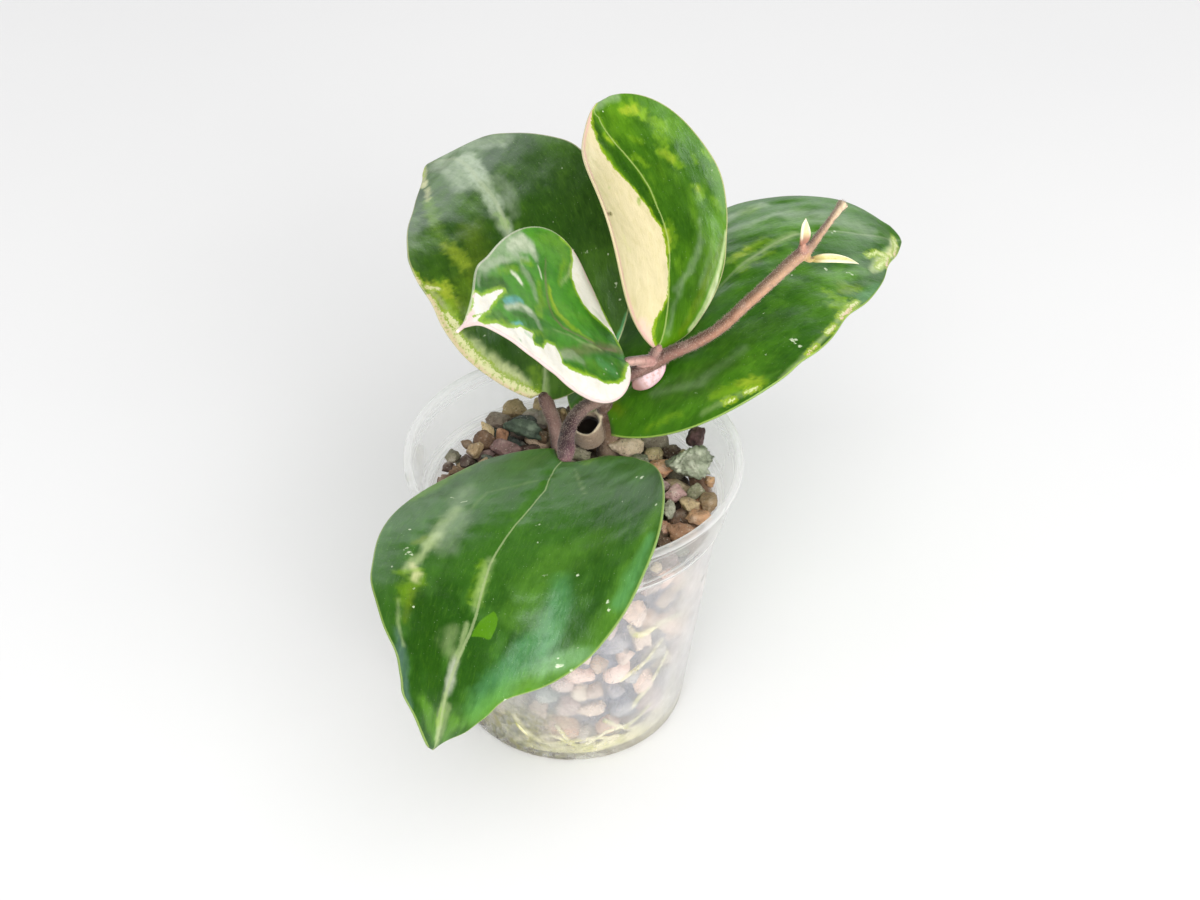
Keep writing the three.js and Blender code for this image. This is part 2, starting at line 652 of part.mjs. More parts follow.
function buildPlant() {
  const plant = new THREE.Group();
  const stem = stemSolid(0);
  const stemSleeve = stemSolid(pieceGap);
  const rootSleeve = rootsSolid(pieceGap);
  const stalkSleeve = tubeSolid(dryStalk, stalkSides, stalkSteps, pieceGap);
  const cavity = cavitySolid();

  const potLook = { transparent: true, opacity: 0.35 };
  plant.add(makeMesh('pot', toGeometry(potSolid()), 0xdfe3e2, 0.25, potLook));

  let gravel = wasm.Manifold.union([gravelCore(), ...topStones()]).intersect(cavity);
  gravel = gravel.subtract(stemSleeve).subtract(rootSleeve).subtract(stalkSleeve);
  for (const [name, { at, half, turn, seed, colour }] of Object.entries(largeStones)) {
    const stone = stoneSolid(at, half, turn, seed).intersect(cavity);
    gravel = gravel.subtract(stoneSolid(at, half, turn, seed, pieceGap));
    plant.add(makeMesh(name, toGeometry(stone), colour, 0.9));
  }
  const pieces = gravel.decompose();
  pieces.sort((a, b) => b.volume() - a.volume());
  plant.add(makeMesh('gravel', toGeometry(pieces[0]), 0x8a7564, 0.95));

  plant.add(makeMesh('roots', toGeometry(rootsSolid(0).subtract(stemSleeve).decompose()[0]), 0xb9b07a, 0.8));
  plant.add(makeMesh('stem', toGeometry(stem), 0x7c6259, 0.75));
  plant.add(makeMesh('dry_stalk', tubeGeometry(dryStalk, stalkSides, stalkSteps), 0xa58f6d, 0.85));

  const blades = {
    leaf_front: [frontLeaf, 0x2f5f2a], leaf_back: [backLeaf, 0x2c5227], leaf_right: [rightLeaf, 0x2a6420],
    leaf_upright: [uprightLeaf, 0x5c8a2e], leaf_curled: [curledLeaf, 0x6f8f5d],
  };
  for (const [name, [leaf, colour]] of Object.entries(blades)) {
    const blade = toSolid(bladeGeometry(leaf, bladeRows, bladeColumns, bladeThickness, edgeThickness));
    plant.add(makeMesh(name, toGeometry(blade.subtract(stemSleeve)), colour, 0.35));
  }
  const smallBlades = {
    leaf_curled_lobe: [curledLobe, 0xd9b8ae], young_leaf_up: [youngLeafUp, 0xd8c98f],
    young_leaf_side: [youngLeafSide, 0xd8c98f],
  };
  for (const [name, [leaf, colour]] of Object.entries(smallBlades)) {
    const geometry = bladeGeometry(
      leaf, smallBladeRows, smallBladeColumns, smallBladeThickness, smallEdgeThickness);
    plant.add(makeMesh(name, toGeometry(toSolid(geometry).subtract(stemSleeve)), colour, 0.5));
  }
  return plant;
}

export default buildPlant();
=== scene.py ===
# Variegated hoya in a clear pot of gravel: the looks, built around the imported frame. Metres, +Z up.
import math

import bmesh
import bpy
import numpy as np
from mathutils import Matrix, Vector
from mathutils.kdtree import KDTree


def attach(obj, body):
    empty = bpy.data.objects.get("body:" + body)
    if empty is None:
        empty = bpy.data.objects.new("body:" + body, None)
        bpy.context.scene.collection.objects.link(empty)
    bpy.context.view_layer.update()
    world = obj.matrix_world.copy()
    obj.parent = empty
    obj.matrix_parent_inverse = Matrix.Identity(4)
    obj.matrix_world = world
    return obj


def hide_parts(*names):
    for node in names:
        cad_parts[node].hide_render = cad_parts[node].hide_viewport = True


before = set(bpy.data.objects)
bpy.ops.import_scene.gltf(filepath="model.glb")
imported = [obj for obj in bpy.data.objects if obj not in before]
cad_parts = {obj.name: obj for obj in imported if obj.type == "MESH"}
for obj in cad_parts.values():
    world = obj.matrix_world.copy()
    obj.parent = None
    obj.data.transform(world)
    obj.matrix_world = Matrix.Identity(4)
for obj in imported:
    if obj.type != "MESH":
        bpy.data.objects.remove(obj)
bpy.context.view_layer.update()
mm = 0.001  # one millimetre
print("frame loaded,", len(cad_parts), "nodes")


def rgb(red, green, blue):  # a colour as the screen shows it, 0 to 255, to linear
    def straight(value):
        value /= 255
        return value / 12.92 if value <= 0.04045 else ((value + 0.055) / 1.055) ** 2.4
    return (straight(red), straight(green), straight(blue), 1.0)


class Wire:  # one socket of a material, for sums written as plain Python
    def __init__(self, look, socket):
        self.look = look
        self.socket = socket

    def sum(self, operation, first, second=0.0):
        return self.look.node("Math", {"operation": operation}, {0: first, 1: second})

    def __add__(self, other):
        return self.sum("ADD", self, other)

    def __sub__(self, other):
        return self.sum("SUBTRACT", self, other)

    def __rsub__(self, other):
        return self.sum("SUBTRACT", other, self)

    def __mul__(self, other):
        return self.sum("MULTIPLY", self, other)

    def __truediv__(self, other):
        return self.sum("DIVIDE", self, other)

    __radd__ = __add__
    __rmul__ = __mul__

    def abs(self):
        return self.sum("ABSOLUTE", self)

    def most(self, other):
        return self.sum("MAXIMUM", self, other)

    def least(self, other):
        return self.sum("MINIMUM", self, other)

    def above(self, low, high):  # 0 at low, 1 at high, smooth between
        settings = {"interpolation_type": "SMOOTHSTEP"}
        return self.look.node("MapRange", settings, {"Value": self, "From Min": low, "From Max": high})


class Look:  # a material and the ways to add to it
    def __init__(self, name):
        self.material = bpy.data.materials.new(name)
        self.material.use_nodes = True
        self.tree = self.material.node_tree
        self.tree.nodes.clear()

    def node(self, kind, settings=None, inputs=None, output=0):
        made = self.tree.nodes.new("ShaderNode" + kind)
        for key, value in (settings or {}).items():
            setattr(made, key, value)
        for key, value in (inputs or {}).items():
            if isinstance(value, Wire):
                self.tree.links.new(value.socket, made.inputs[key])
            else:
                made.inputs[key].default_value = value
        return Wire(self, made.outputs[output])

    def place(self):
        return self.node("TexCoord", output="Object")

    def field(self, name, output="Fac"):
        return self.node("Attribute", {"attribute_name": name}, output=output)

    def stretched(self, vector, scale):
        return self.node("VectorMath", {"operation": "MULTIPLY"}, {0: vector, 1: scale})

    def axis(self, vector, index):
        return self.node("SeparateXYZ", None, {0: vector}, index)

    def noise(self, vector, scale, detail, roughness=0.5):
        inputs = {"Vector": vector, "Scale": scale, "Detail": detail, "Roughness": roughness}
        return self.node("TexNoise", None, inputs)

    def cells(self, vector, scale, feature="F1"):
        return self.node("TexVoronoi", {"feature": feature}, {"Vector": vector, "Scale": scale}, "Distance")

    def mix(self, first, second, share, blend="MIX"):
        settings = {"data_type": "RGBA", "blend_type": blend}
        return self.node("Mix", settings, {0: share, 6: first, 7: second}, 2)

    def bump(self, height, strength, distance, normal=None):
        inputs = {"Height": height, "Strength": strength, "Distance": distance}
        if normal:
            inputs["Normal"] = normal
        return self.node("Bump", None, inputs)

    def finish(self, **inputs):
        named = {key.replace("_", " "): value for key, value in inputs.items()}
        return self.output(self.node("BsdfPrincipled", None, named))

    def output(self, shader):
        end = self.tree.nodes.new("ShaderNodeOutputMaterial")
        self.tree.links.new(shader.socket, end.inputs["Surface"])
        return self.material


def addObject(name, data):
    made = bpy.data.objects.new(name, data)
    bpy.context.collection.objects.link(made)
    return made


def makePiece(name, points, faces, look, nodes, fields=None):
    mesh = bpy.data.meshes.new(name)
    mesh.from_pydata(np.asarray(points).tolist(), [], [tuple(int(i) for i in face) for face in faces])
    for key, values in (fields or {}).items():
        values = np.asarray(values, dtype=np.float32)
        if values.ndim == 1:
            mesh.attributes.new(key, "FLOAT", "POINT").data.foreach_set("value", values)
        elif values.shape[1] == 3:
            mesh.attributes.new(key, "FLOAT_VECTOR", "POINT").data.foreach_set("vector", values.ravel())
        else:
            mesh.attributes.new(key, "FLOAT_COLOR", "POINT").data.foreach_set("color", values.ravel())
    mesh.polygons.foreach_set("use_smooth", np.full(len(mesh.polygons), True))
    mesh.validate()
    mesh.materials.append(look)
    piece = addObject(name, mesh)
    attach(piece, "root")
    if nodes:
        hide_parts(*nodes)
    return piece


def unit(vector):  # at length 1
    return vector / np.linalg.norm(vector)


def units(rows):  # each row at length 1
    return rows / np.linalg.norm(rows, axis=1)[:, None]


def ringFaces(rings, sides):  # four-sided faces between rings of points
    faces = []
    for i in range(rings - 1):
        low, high = i * sides, (i + 1) * sides
        for k in range(sides):
            after = (k + 1) % sides
            faces.append((low + k, low + after, high + after, high + k))
    return faces


def waves(points, rng, wavelength):  # smooth random height between about -1 and 1
    total, count = np.zeros(len(points)), 10
    for _ in range(count):
        direction = unit(rng.normal(size=3))
        pace = 2 * math.pi / (wavelength * rng.uniform(0.7, 1.5))
        total += np.sin(points @ direction * pace + rng.uniform(0, 2 * math.pi))
    return total / math.sqrt(count)


def smoothRun(points, count):  # a smooth curve through the points, evenly spaced by length
    points = np.asarray(points, dtype=float)
    padded = np.vstack([2 * points[0] - points[1], points, 2 * points[-1] - points[-2]])
    fine, steps = [], 24
    for i in range(len(points) - 1):
        a, b, c, d = padded[i:i + 4]
        t = np.linspace(0, 1, steps, endpoint=False)[:, None]
        fine.append(0.5 * (2 * b + (c - a) * t + (2 * a - 5 * b + 4 * c - d) * t ** 2
                           + (3 * b - a - 3 * c + d) * t ** 3))
    fine = np.vstack(fine + [points[-1:]])
    knots = np.repeat(np.arange(len(points) - 1), steps) + np.tile(np.arange(steps) / steps, len(points) - 1)
    knots = np.append(knots, len(points) - 1)
    lengths = np.append(0, np.cumsum(np.linalg.norm(np.diff(fine, axis=0), axis=1)))
    even = np.linspace(0, lengths[-1], count)
    centres = np.column_stack([np.interp(even, lengths, fine[:, k]) for k in range(3)])
    return centres, np.interp(even, lengths, knots)


def tube(points, radii, rings, sides, rough, rng):
    centres, knots = smoothRun(points, rings)
    reach = np.interp(knots, np.arange(len(radii)), radii)
    ahead = units(np.gradient(centres, axis=0))
    across = np.cross(ahead[0], [0.3, 0.2, 0.93])
    angle = np.arange(sides) * 2 * math.pi / sides
    verts = []
    for i in range(rings):
        across = unit(across - ahead[i] * (across @ ahead[i]))
        other = np.cross(ahead[i], across)
        spokes = np.outer(np.cos(angle), across) + np.outer(np.sin(angle), other)
        verts.append(centres[i] + reach[i] * spokes)
    verts = np.vstack(verts)
    middle = np.repeat(centres, sides, axis=0)
    verts = middle + (verts - middle) * (1 + rough * waves(verts, rng, 5 * mm))[:, None]
    faces = ringFaces(rings, sides)
    last = (rings - 1) * sides
    domes, domeHeight = [], 0.45
    for start, sign in ((0, -1), (last, 1)):  # a low dome at each end
        ring = 0 if sign < 0 else rings - 1
        domes.append(centres[ring] + sign * ahead[ring] * reach[ring] * domeHeight)
        top = len(verts) + len(domes) - 1
        for k in range(sides):
            pair = (start + (k + 1) % sides, start + k) if sign < 0 else (start + k, start + (k + 1) % sides)
            faces.append((*pair, top))
    return np.vstack([verts, domes]), faces


def joined(parts):  # several (points, faces) as one
    points, faces, base = [], [], 0
    for partPoints, partFaces in parts:
        points.append(partPoints)
        faces += [tuple(i + base for i in face) for face in partFaces]
        base += len(partPoints)
    return np.vstack(points), faces


# The clear pot: the CAD profile with finer turns and softened corners
pot = {
    "height": 85.4, "lip": 1.6, "base": 32.4, "floor": 1.2, "wall": 1.0, "neck": 39.8, "shoulder": 69.7,
    "shoulderRise": 1.1, "sides": 168, "holes": 8, "holeRadius": 2.6, "holeCircle": 22, "holeSides": 28,
}


def potProfile():
    lipBottom = pot["height"] - pot["lip"]
    shoulder = pot["shoulder"]
    ledge = shoulder + pot["shoulderRise"]
    outer = [(0, 0.5), (27.5, 0.5), (28.6, 0.05), (31.2, 0), (31.9, 0.3), (32.3, 0.9), (32.5, 2)]
    for share in np.linspace(0.1, 0.97, 9):
        outer.append((pot["base"] + (pot["neck"] - pot["base"]) * share, shoulder * share))
    outer += [(39.75, shoulder - 0.5), (40.3, shoulder), (41.0, shoulder + 0.15), (41.35, shoulder + 0.6),
        (41.55, ledge + 0.4)]
    outer += [(42.8, 77.5), (43.75, lipBottom - 0.6), (44.1, lipBottom - 0.1), (44.75, lipBottom + 0.05),
        (45, lipBottom + 0.35)]
    outer += [(45, pot["height"] - 0.45), (44.8, pot["height"] - 0.12), (44.4, pot["height"]),
        (43.5, pot["height"])]
    inner = [(43.15, pot["height"] - 0.12), (42.95, pot["height"] - 0.5), (41.9, 78), (40.55, ledge + 1.1)]
    inner += [(40.35, ledge + 0.45), (40.0, ledge + 0.15), (39.3, ledge - 0.05), (38.9, ledge - 0.4),
        (38.75, ledge - 1)]
    for share in np.linspace(0.93, 0.06, 9):
        inner.append((pot["base"] + (pot["neck"] - pot["base"]) * share - pot["wall"], shoulder * share))
    inner += [(31.4, 2.6), (31.0, 1.7), (30.3, 1.25), (28.8, 1.2), (27.8, 1.6), (0, 1.6)]
    return outer + inner


def latheMesh(profile, sides):
    points, faces = [], []
    rings = []
    for radius, z in profile:
        if radius == 0:
            rings.append([len(points)])
            points.append((0, 0, z * mm))
            continue
        rings.append(list(range(len(points), len(points) + sides)))
        for k in range(sides):
            angle = 2 * math.pi * k / sides
            points.append((radius * mm * math.cos(angle), radius * mm * math.sin(angle), z * mm))
    for low, high in zip(rings, rings[1:]):
        for k in range(sides):
            a, b = low[k % len(low)], low[(k + 1) % len(low)]
            c, d = high[(k + 1) % len(high)], high[k % len(high)]
            face = []
            for corner in (a, b, c, d):
                if corner not in face:
                    face.append(corner)
            if len(face) > 2:
                faces.append(tuple(face))
    return np.array(points), faces


def applyModifiers(piece):
    graph = bpy.context.evaluated_depsgraph_get()
    mesh = bpy.data.meshes.new_from_object(piece.evaluated_get(graph))
    old = piece.data
    piece.modifiers.clear()
    piece.data = mesh
    bpy.data.meshes.remove(old)


def potLook():
    look = Look("clearPlastic")
    place = look.place()
    x, y, z = (look.axis(place, k) for k in range(3))
    clouds = look.noise(place, 55, 3, 0.6)
    streaks = look.noise(look.stretched(place, (1, 1, 0.18)), 260, 3, 0.6)
    spots = look.noise(place, 700, 2, 0.6)
    facing = look.node("LayerWeight", None, {"Blend": 0.4}, "Facing")
    below = 1 - z.above(68 * mm, 70 * mm)
    misted = below * (x + 0.35 * y + 0.03 * (clouds - 0.5)).above(6 * mm, 37 * mm)
    misted = misted * (1 - 0.6 * y.above(6 * mm, 24 * mm))
    milky = (1 - z.above(2 * mm, 9 * mm)) * (x + 0.02 * (clouds - 0.5)).above(-2 * mm, 14 * mm)
    shaded = (x * -0.8 + y * -0.6).above(5 * mm, 30 * mm)
    low = (1 - z.above(1 * mm, 13 * mm)).most(shaded * (1 - z.above(10 * mm, 34 * mm)))
    growth = (look.noise(place, 160, 4, 0.65) + 0.14 * shaded).above(0.46, 0.58)
    algae = low * (0.12 + 0.88 * shaded) * growth
    grains = look.noise(place, 420, 4, 0.7)
    algae = algae * (0.35 + 0.65 * grains.above(0.4, 0.6))
    darker = look.noise(place, 330, 3, 0.65).above(0.48, 0.6)
    algaeTone = look.mix(rgb(150, 150, 72), rgb(66, 84, 28), darker)
    algaeTone = look.mix(algaeTone, rgb(228, 222, 182), 0.75 * look.noise(place, 240, 3).above(0.56, 0.66))
    line = (1 - z.above(0.4 * mm, 1.6 * mm)) * look.noise(place, 210, 3, 0.6).above(0.36, 0.55)
    rimStain = z.above(72 * mm, 76 * mm) * (x * -1).above(39 * mm, 43 * mm)
    rimStain = rimStain * look.noise(place, 90, 2).above(0.5, 0.66)
    paintedEdgeHighlights = 0.0
    edges = ((84.8, 0.7, 0.34), (81.6, 0.35, 0.16), (71.2, 0.45, 0.5), (69.6, 0.3, 0.34))
    for height, half, strength in edges:  # painted highlights: whiter plastic along the turned edges
        paintedEdgeHighlights = paintedEdgeHighlights + strength * (1 - ((z - height * mm).abs() / (half * mm)).above(0.5, 1.3))
    haze = 0.12 + 0.16 * clouds + 0.1 * (streaks - 0.5) + 0.05 * spots.above(0.6, 0.75)
    haze = haze + 0.36 * misted + 0.12 * milky
    cleared = (1 - z.above(3 * mm, 16 * mm)) * (1 - x.above(4 * mm, 20 * mm))
    haze = haze * (0.6 + 0.4 * below) * (1 - 0.6 * cleared) + paintedEdgeHighlights
    glancing = 0.42 * facing * facing * (0.3 + 0.7 * z.above(1 * mm, 5 * mm))
    share = haze + glancing + 0.55 * algae + 0.4 * line + 0.12 * rimStain
    colour = look.mix(rgb(252, 252, 252), rgb(248, 243, 220), 0.7 * milky)
    colour = look.mix(colour, algaeTone, algae.most(rimStain * 0.6))
    colour = look.mix(colour, rgb(142, 122, 88), line)
    normal = look.bump(look.noise(place, 45, 2) + 0.12 * streaks, 0.18, 0.6 * mm)
    plastic = look.node("BsdfPrincipled", None, {
        "Base Color": colour, "Roughness": 0.2 + 0.2 * clouds, "IOR": 1.6, "Normal": normal,
        "Coat Weight": 0.6, "Coat Roughness": 0.06, "Specular IOR Level": 0.8})
    glow = look.node("BsdfTranslucent", None, {"Color": (0.98, 0.98, 0.98, 1)})
    plastic = look.node("MixShader", None, {0: 0.4, 1: plastic, 2: glow})
    clear = look.node("BsdfTransparent", None, {"Color": (0.99, 0.992, 0.992, 1)})
    return look.output(look.node("MixShader", None, {0: share.least(0.96), 1: clear, 2: plastic}))


potPoints, potFaces = latheMesh(potProfile(), pot["sides"])
potPiece = makePiece("clear_pot", potPoints, potFaces, potLook(), ["pot"])
drillParts = []
for k in range(pot["holes"]):
    angle = (k + 0.5) / pot["holes"] * 2 * math.pi
    centre = np.array([math.cos(angle), math.sin(angle), 0]) * pot["holeCircle"] * mm
    turns = np.arange(pot["holeSides"]) * 2 * math.pi / pot["holeSides"]
    ring = np.column_stack([np.cos(turns), np.sin(turns), 0 * turns]) * pot["holeRadius"] * mm + centre
    up = np.array([0, 0, 4 * mm])
    ends = [tuple(range(pot["holeSides"]))[::-1], tuple(range(pot["holeSides"], 2 * pot["holeSides"]))]
    drillParts.append((np.vstack([ring - up, ring + up]), ringFaces(2, pot["holeSides"]) + ends))
drillPoints, drillFaces = joined(drillParts)
drillMesh = bpy.data.meshes.new("drainDrill")
drillMesh.from_pydata(drillPoints.tolist(), [], drillFaces)
drill = addObject("drainDrill", drillMesh)
cut = potPiece.modifiers.new("drain", "BOOLEAN")
cut.operation = "DIFFERENCE"
cut.solver = "EXACT"
cut.object = drill
applyModifiers(potPiece)
bpy.data.objects.remove(drill)
print("pot built,", len(potPiece.data.polygons), "faces")


# Gravel: every stone is its own closed form
tones = {
    "cream": rgb(212, 190, 162), "lightTan": rgb(192, 168, 134), "tan": rgb(164, 140, 108),
    "orangeTan": rgb(196, 154, 118), "orangeBrown": rgb(168, 128, 98), "brown": rgb(122, 98, 78),
    "darkBrown": rgb(84, 66, 58), "mauve": rgb(132, 108, 102), "mauvePink": rgb(188, 158, 154),
    "greyBrown": rgb(132, 120, 108), "beigeGrey": rgb(164, 154, 140), "slate": rgb(76, 86, 80),
    "olive": rgb(126, 126, 102), "sagePale": rgb(160, 162, 140), "blueGrey": rgb(116, 122, 138),
    "teal": rgb(104, 130, 126), "creamPink": rgb(246, 210, 188), "dustyPink": rgb(170, 144, 136),
}
stoneKinds = {"planes": 12, "power": 12, "relief": 0.08, "fineRelief": 0.055}


def sphereMesh(level):
    made = bmesh.new()
    bmesh.ops.create_icosphere(made, subdivisions=level, radius=1)
    points = np.array([v.co[:] for v in made.verts])
    faces = [tuple(v.index for v in face.verts) for face in made.faces]
    made.free()
    return units(points), faces


spheres = {level: sphereMesh(level) for level in (3, 4, 5)}


def stoneForm(rng, level, angular, planes=None):  # a rounded many-sided pebble of about unit size
    directions, faces = spheres[level]
    count = stoneKinds["planes"]
    index = np.arange(count) + 0.5
    polar = np.arccos(1 - 2 * index / count)
    turn = math.pi * (1 + 5 ** 0.5) * index
    normals = np.column_stack([np.cos(turn) * np.sin(polar), np.sin(turn) * np.sin(polar), np.cos(polar)])
    normals = units(normals + rng.normal(scale=0.28, size=normals.shape))
    heights = rng.uniform(0.78, 1.08, count)
    if planes:
        normals, heights = planes
    power = stoneKinds["power"] * angular
    pull = np.clip(directions @ normals.T, 0, None) / heights
    reach = np.sum(pull ** power, axis=1) ** (-1 / power)
    spin = Matrix.Rotation(rng.uniform(0, 6.28), 3, Vector(rng.normal(size=3)).normalized())
    points = directions * reach[:, None]
    if not planes:
        points = points @ np.array(spin)
    dents = np.abs(waves(points, rng, 0.34)) * 0.012 * angular
    relief = stoneKinds["relief"] * waves(points, rng, 1.6)
    relief += stoneKinds["fineRelief"] * waves(points, rng, 0.5)
    points *= (1 + relief - dents)[:, None]
    points /= np.abs(points).max(axis=0)
    return points, faces


def toneOf(name, rng):
    base = np.array(tones[name])
    shade = rng.uniform(0.86, 1.14)
    hue = rng.uniform(0.95, 1.05, 3)
    return np.append(base[:3] * shade * hue, 1)


def stoneLook(name, dust):
    look = Look(name)
    place = look.place()
    tint = look.field("tint", "Color")
    broad = look.noise(place, 240, 4, 0.6)
    fine = look.noise(place, 1500, 3, 0.7)
    pits = look.cells(place, 900)
    seams = look.cells(look.stretched(place, (1, 1, 1.8)), 260, "DISTANCE_TO_EDGE")
    wallLitShare = look.field("wallLitShare")
    colour = look.mix(tint, rgb(226, 214, 198), dust * broad.above(0.5, 0.75))
    colour = look.mix(colour, rgb(72, 56, 46), 0.5 * (1 - broad.above(0.3, 0.5)))
    colour = look.mix(colour, rgb(64, 50, 42), 0.55 * (1 - seams.above(0.0, 0.035)) * fine.above(0.45, 0.6))
    colour = look.mix(colour, rgb(236, 228, 214), 0.5 * fine.above(0.6, 0.7))
    colour = look.mix(colour, rgb(50, 42, 38), 0.7 * (1 - fine.above(0.32, 0.4)))
    # painted light: stone faces against the wall are painted paler, as if lit through the clear plastic
    colour = look.mix(colour, look.mix(tint, rgb(252, 244, 234), 0.5), 0.85 * wallLitShare)
    height = 0.5 * broad + 0.4 * fine + 0.25 * pits
    normal = look.bump(height, 1.0, 0.9 * mm)
    return look.finish(Base_Color=colour, Roughness=0.62 + 0.3 * broad, Normal=normal, Specular_IOR_Level=0.3)


# Stones that the photo shows, by place on top: tone, x, y, width, depth
shownTop = [
    ("tan", -17.9, 33.4, 7.4, 5.6), ("greyBrown", -21.5, 28.4, 7.6, 5.6), ("slate", -14.4, 26.6, 7.4, 5.2),
    ("mauve", -19.2, 16.4, 8.8, 6.2), ("brown", -25.2, 20.4, 6.6, 6.2), ("tan", -27.4, 15.8, 4.6, 4.8),
    ("olive", -33.4, 13.2, 3.6, 5.6), ("darkBrown", -29.6, 11.6, 4.0, 4.4),
    ("brown", -31.6, 7.0, 4.2, 4.0), ("brown", -34.2, 3.4, 4.0, 3.8), ("tan", -24.8, 9.8, 4.2, 3.4),
    ("beigeGrey", -10.2, 28.6, 4.8, 5.6), ("lightTan", -10.6, 35.0, 4.0, 4.0),
    ("brown", -11.6, 11.4, 4.6, 3.4), ("lightTan", -24.4, 23.4, 3.8, 4.2), ("cream", 14.0, 19.4, 8.8, 5.6),
    ("olive", 17.6, 13.4, 5.6, 5.0), ("lightTan", 21.4, 17.6, 5.8, 4.8),
    ("darkBrown", 26.6, 19.6, 5.2, 4.8), ("orangeTan", 23.2, 12.2, 8.0, 5.2),
    ("dustyPink", 27.2, 0.9, 6.2, 5.8), ("olive", 32.8, 2.8, 5.2, 4.6), ("sagePale", 26.0, -5.6, 4.6, 5.4),
    ("lightTan", 31.2, -3.6, 5.2, 4.8), ("orangeTan", 33.6, -8.6, 6.2, 5.2), ("tan", 36.6, -0.6, 5.2, 7.0),
    ("orangeBrown", 29.4, -14.8, 7.6, 5.4), ("orangeBrown", 24.6, -12.6, 3.0, 4.6),
    ("brown", 24.0, -18.8, 3.4, 4.0), ("orangeTan", 37.0, 7.0, 3.4, 4.4),
    ("darkBrown", 18.0, 5.0, 4.8, 4.0), ("cream", 9.4, 32.6, 6.2, 5.0), ("tan", 17.2, 29.6, 6.4, 5.4),
    ("mauve", 0.8, 34.6, 6.6, 5.2), ("greyBrown", 3.4, 8.4, 6.2, 5.2), ("brown", 16.6, -3.2, 6.4, 5.6),
    ("orangeTan", 18.6, -25.4, 6.4, 5.2), ("tan", 10.4, -31.0, 6.8, 5.6),
]
# Stones that the photo shows through the wall: tone, angle, height, width, height of the stone
shownWall = [
    ("orangeTan", -77.1, 37.9, 5.6, 5.0), ("creamPink", -66.9, 33.2, 7.2, 5.0),
    ("creamPink", -84.9, 34.6, 6.4, 5.2), ("mauvePink", -92.5, 30.8, 5.6, 4.4),
    ("cream", -84.7, 26.8, 3.9, 5.0), ("orangeBrown", -77.7, 27.4, 4.4, 4.2),
    ("teal", -100.9, 24.7, 5.8, 6.0), ("mauvePink", -90.6, 20.9, 5.8, 5.0),
    ("orangeTan", -93.4, 11.6, 8.6, 7.4), ("cream", -79.6, 19.4, 7.8, 3.9),
    ("orangeTan", -68.6, 10.2, 5.8, 6.6), ("beigeGrey", -82.3, 8.4, 4.7, 5.8),
    ("blueGrey", -60.0, 16.8, 7.0, 6.8), ("brown", -57.2, 8.2, 5.8, 4.8),
    ("creamPink", -47.6, 23.4, 7.0, 7.4), ("creamPink", -53.4, 43.4, 6.2, 6.8),
    ("creamPink", -60.6, 56.6, 8.2, 8.0), ("blueGrey", -69.5, 45.6, 8.4, 6.4),
    ("cream", -42.4, 54.8, 6.0, 5.2), ("sagePale", -45.2, 34.2, 8.0, 4.0),
    ("blueGrey", -33.9, 20.4, 4.8, 6.0), ("creamPink", -46.0, 64.2, 6.6, 5.8),
    ("cream", -37.0, 62.4, 5.6, 5.0), ("blueGrey", -66.4, 25.2, 4.2, 4.2),
    ("blueGrey", -58.2, 30.2, 5.2, 4.4), ("mauve", -53.6, 64.4, 5.6, 4.8),
    ("creamPink", -36.4, 43.0, 5.8, 6.4), ("mauvePink", -72.0, 52.8, 6.2, 5.6),
    ("olive", -111.0, 13.2, 6.2, 6.8), ("sagePale", -120.5, 9.4, 5.8, 5.4),
]
fillTones = [
    "tan", "orangeTan", "cream", "mauve", "brown", "orangeBrown", "lightTan", "greyBrown", "olive",
    "beigeGrey", "mauvePink", "slate", "darkBrown", "brown",
]
wallTones = [
    "creamPink", "creamPink", "cream", "creamPink", "beigeGrey", "blueGrey", "mauvePink", "orangeTan",
    "lightTan", "cream", "sagePale", "creamPink",
]
packing = {
    "wallStones": 190, "wallRange": (6.8, 3.0), "topStones": 150, "topRange": (4.6, 1.7), "tries": 260,
    "shownScale": 1.32, "topScale": 1.16, "surface": 71.0, "mound": (-12, 27, 2.4, 18), "overlap": 0.93,
    "lowest": 1.7, "wallTop": 70.2, "middle": 35.0,
}


def innerRadius(z):  # the pot's inner wall below the shoulder, mm
    share = (pot["neck"] - pot["base"]) * (z - pot["floor"]) / (pot["shoulder"] - pot["floor"])
    return pot["base"] + share - pot["wall"]


def surfaceHeight(x, y):
    mx, my, rise, spread = packing["mound"]
    return packing["surface"] + rise * np.exp(-((x - mx) ** 2 + (y - my) ** 2) / (2 * spread ** 2))


def packRound(placed, sizes, drawPlaces, distance):  # each new stone takes the tightest free place of many
    for size in sizes:
        places = drawPlaces(packing["tries"], size)
        gaps = distance(places[:, None, :], np.array([p[:2] for p in placed])[None])
        gaps -= packing["overlap"] * (size + np.array([p[2] for p in placed])[None])
        closest = gaps.min(axis=1)
        free = np.where(closest >= 0)[0]
        if len(free) == 0:
            continue
        best = free[np.argmin(closest[free])]
        placed.append((*places[best], size))
    return placed


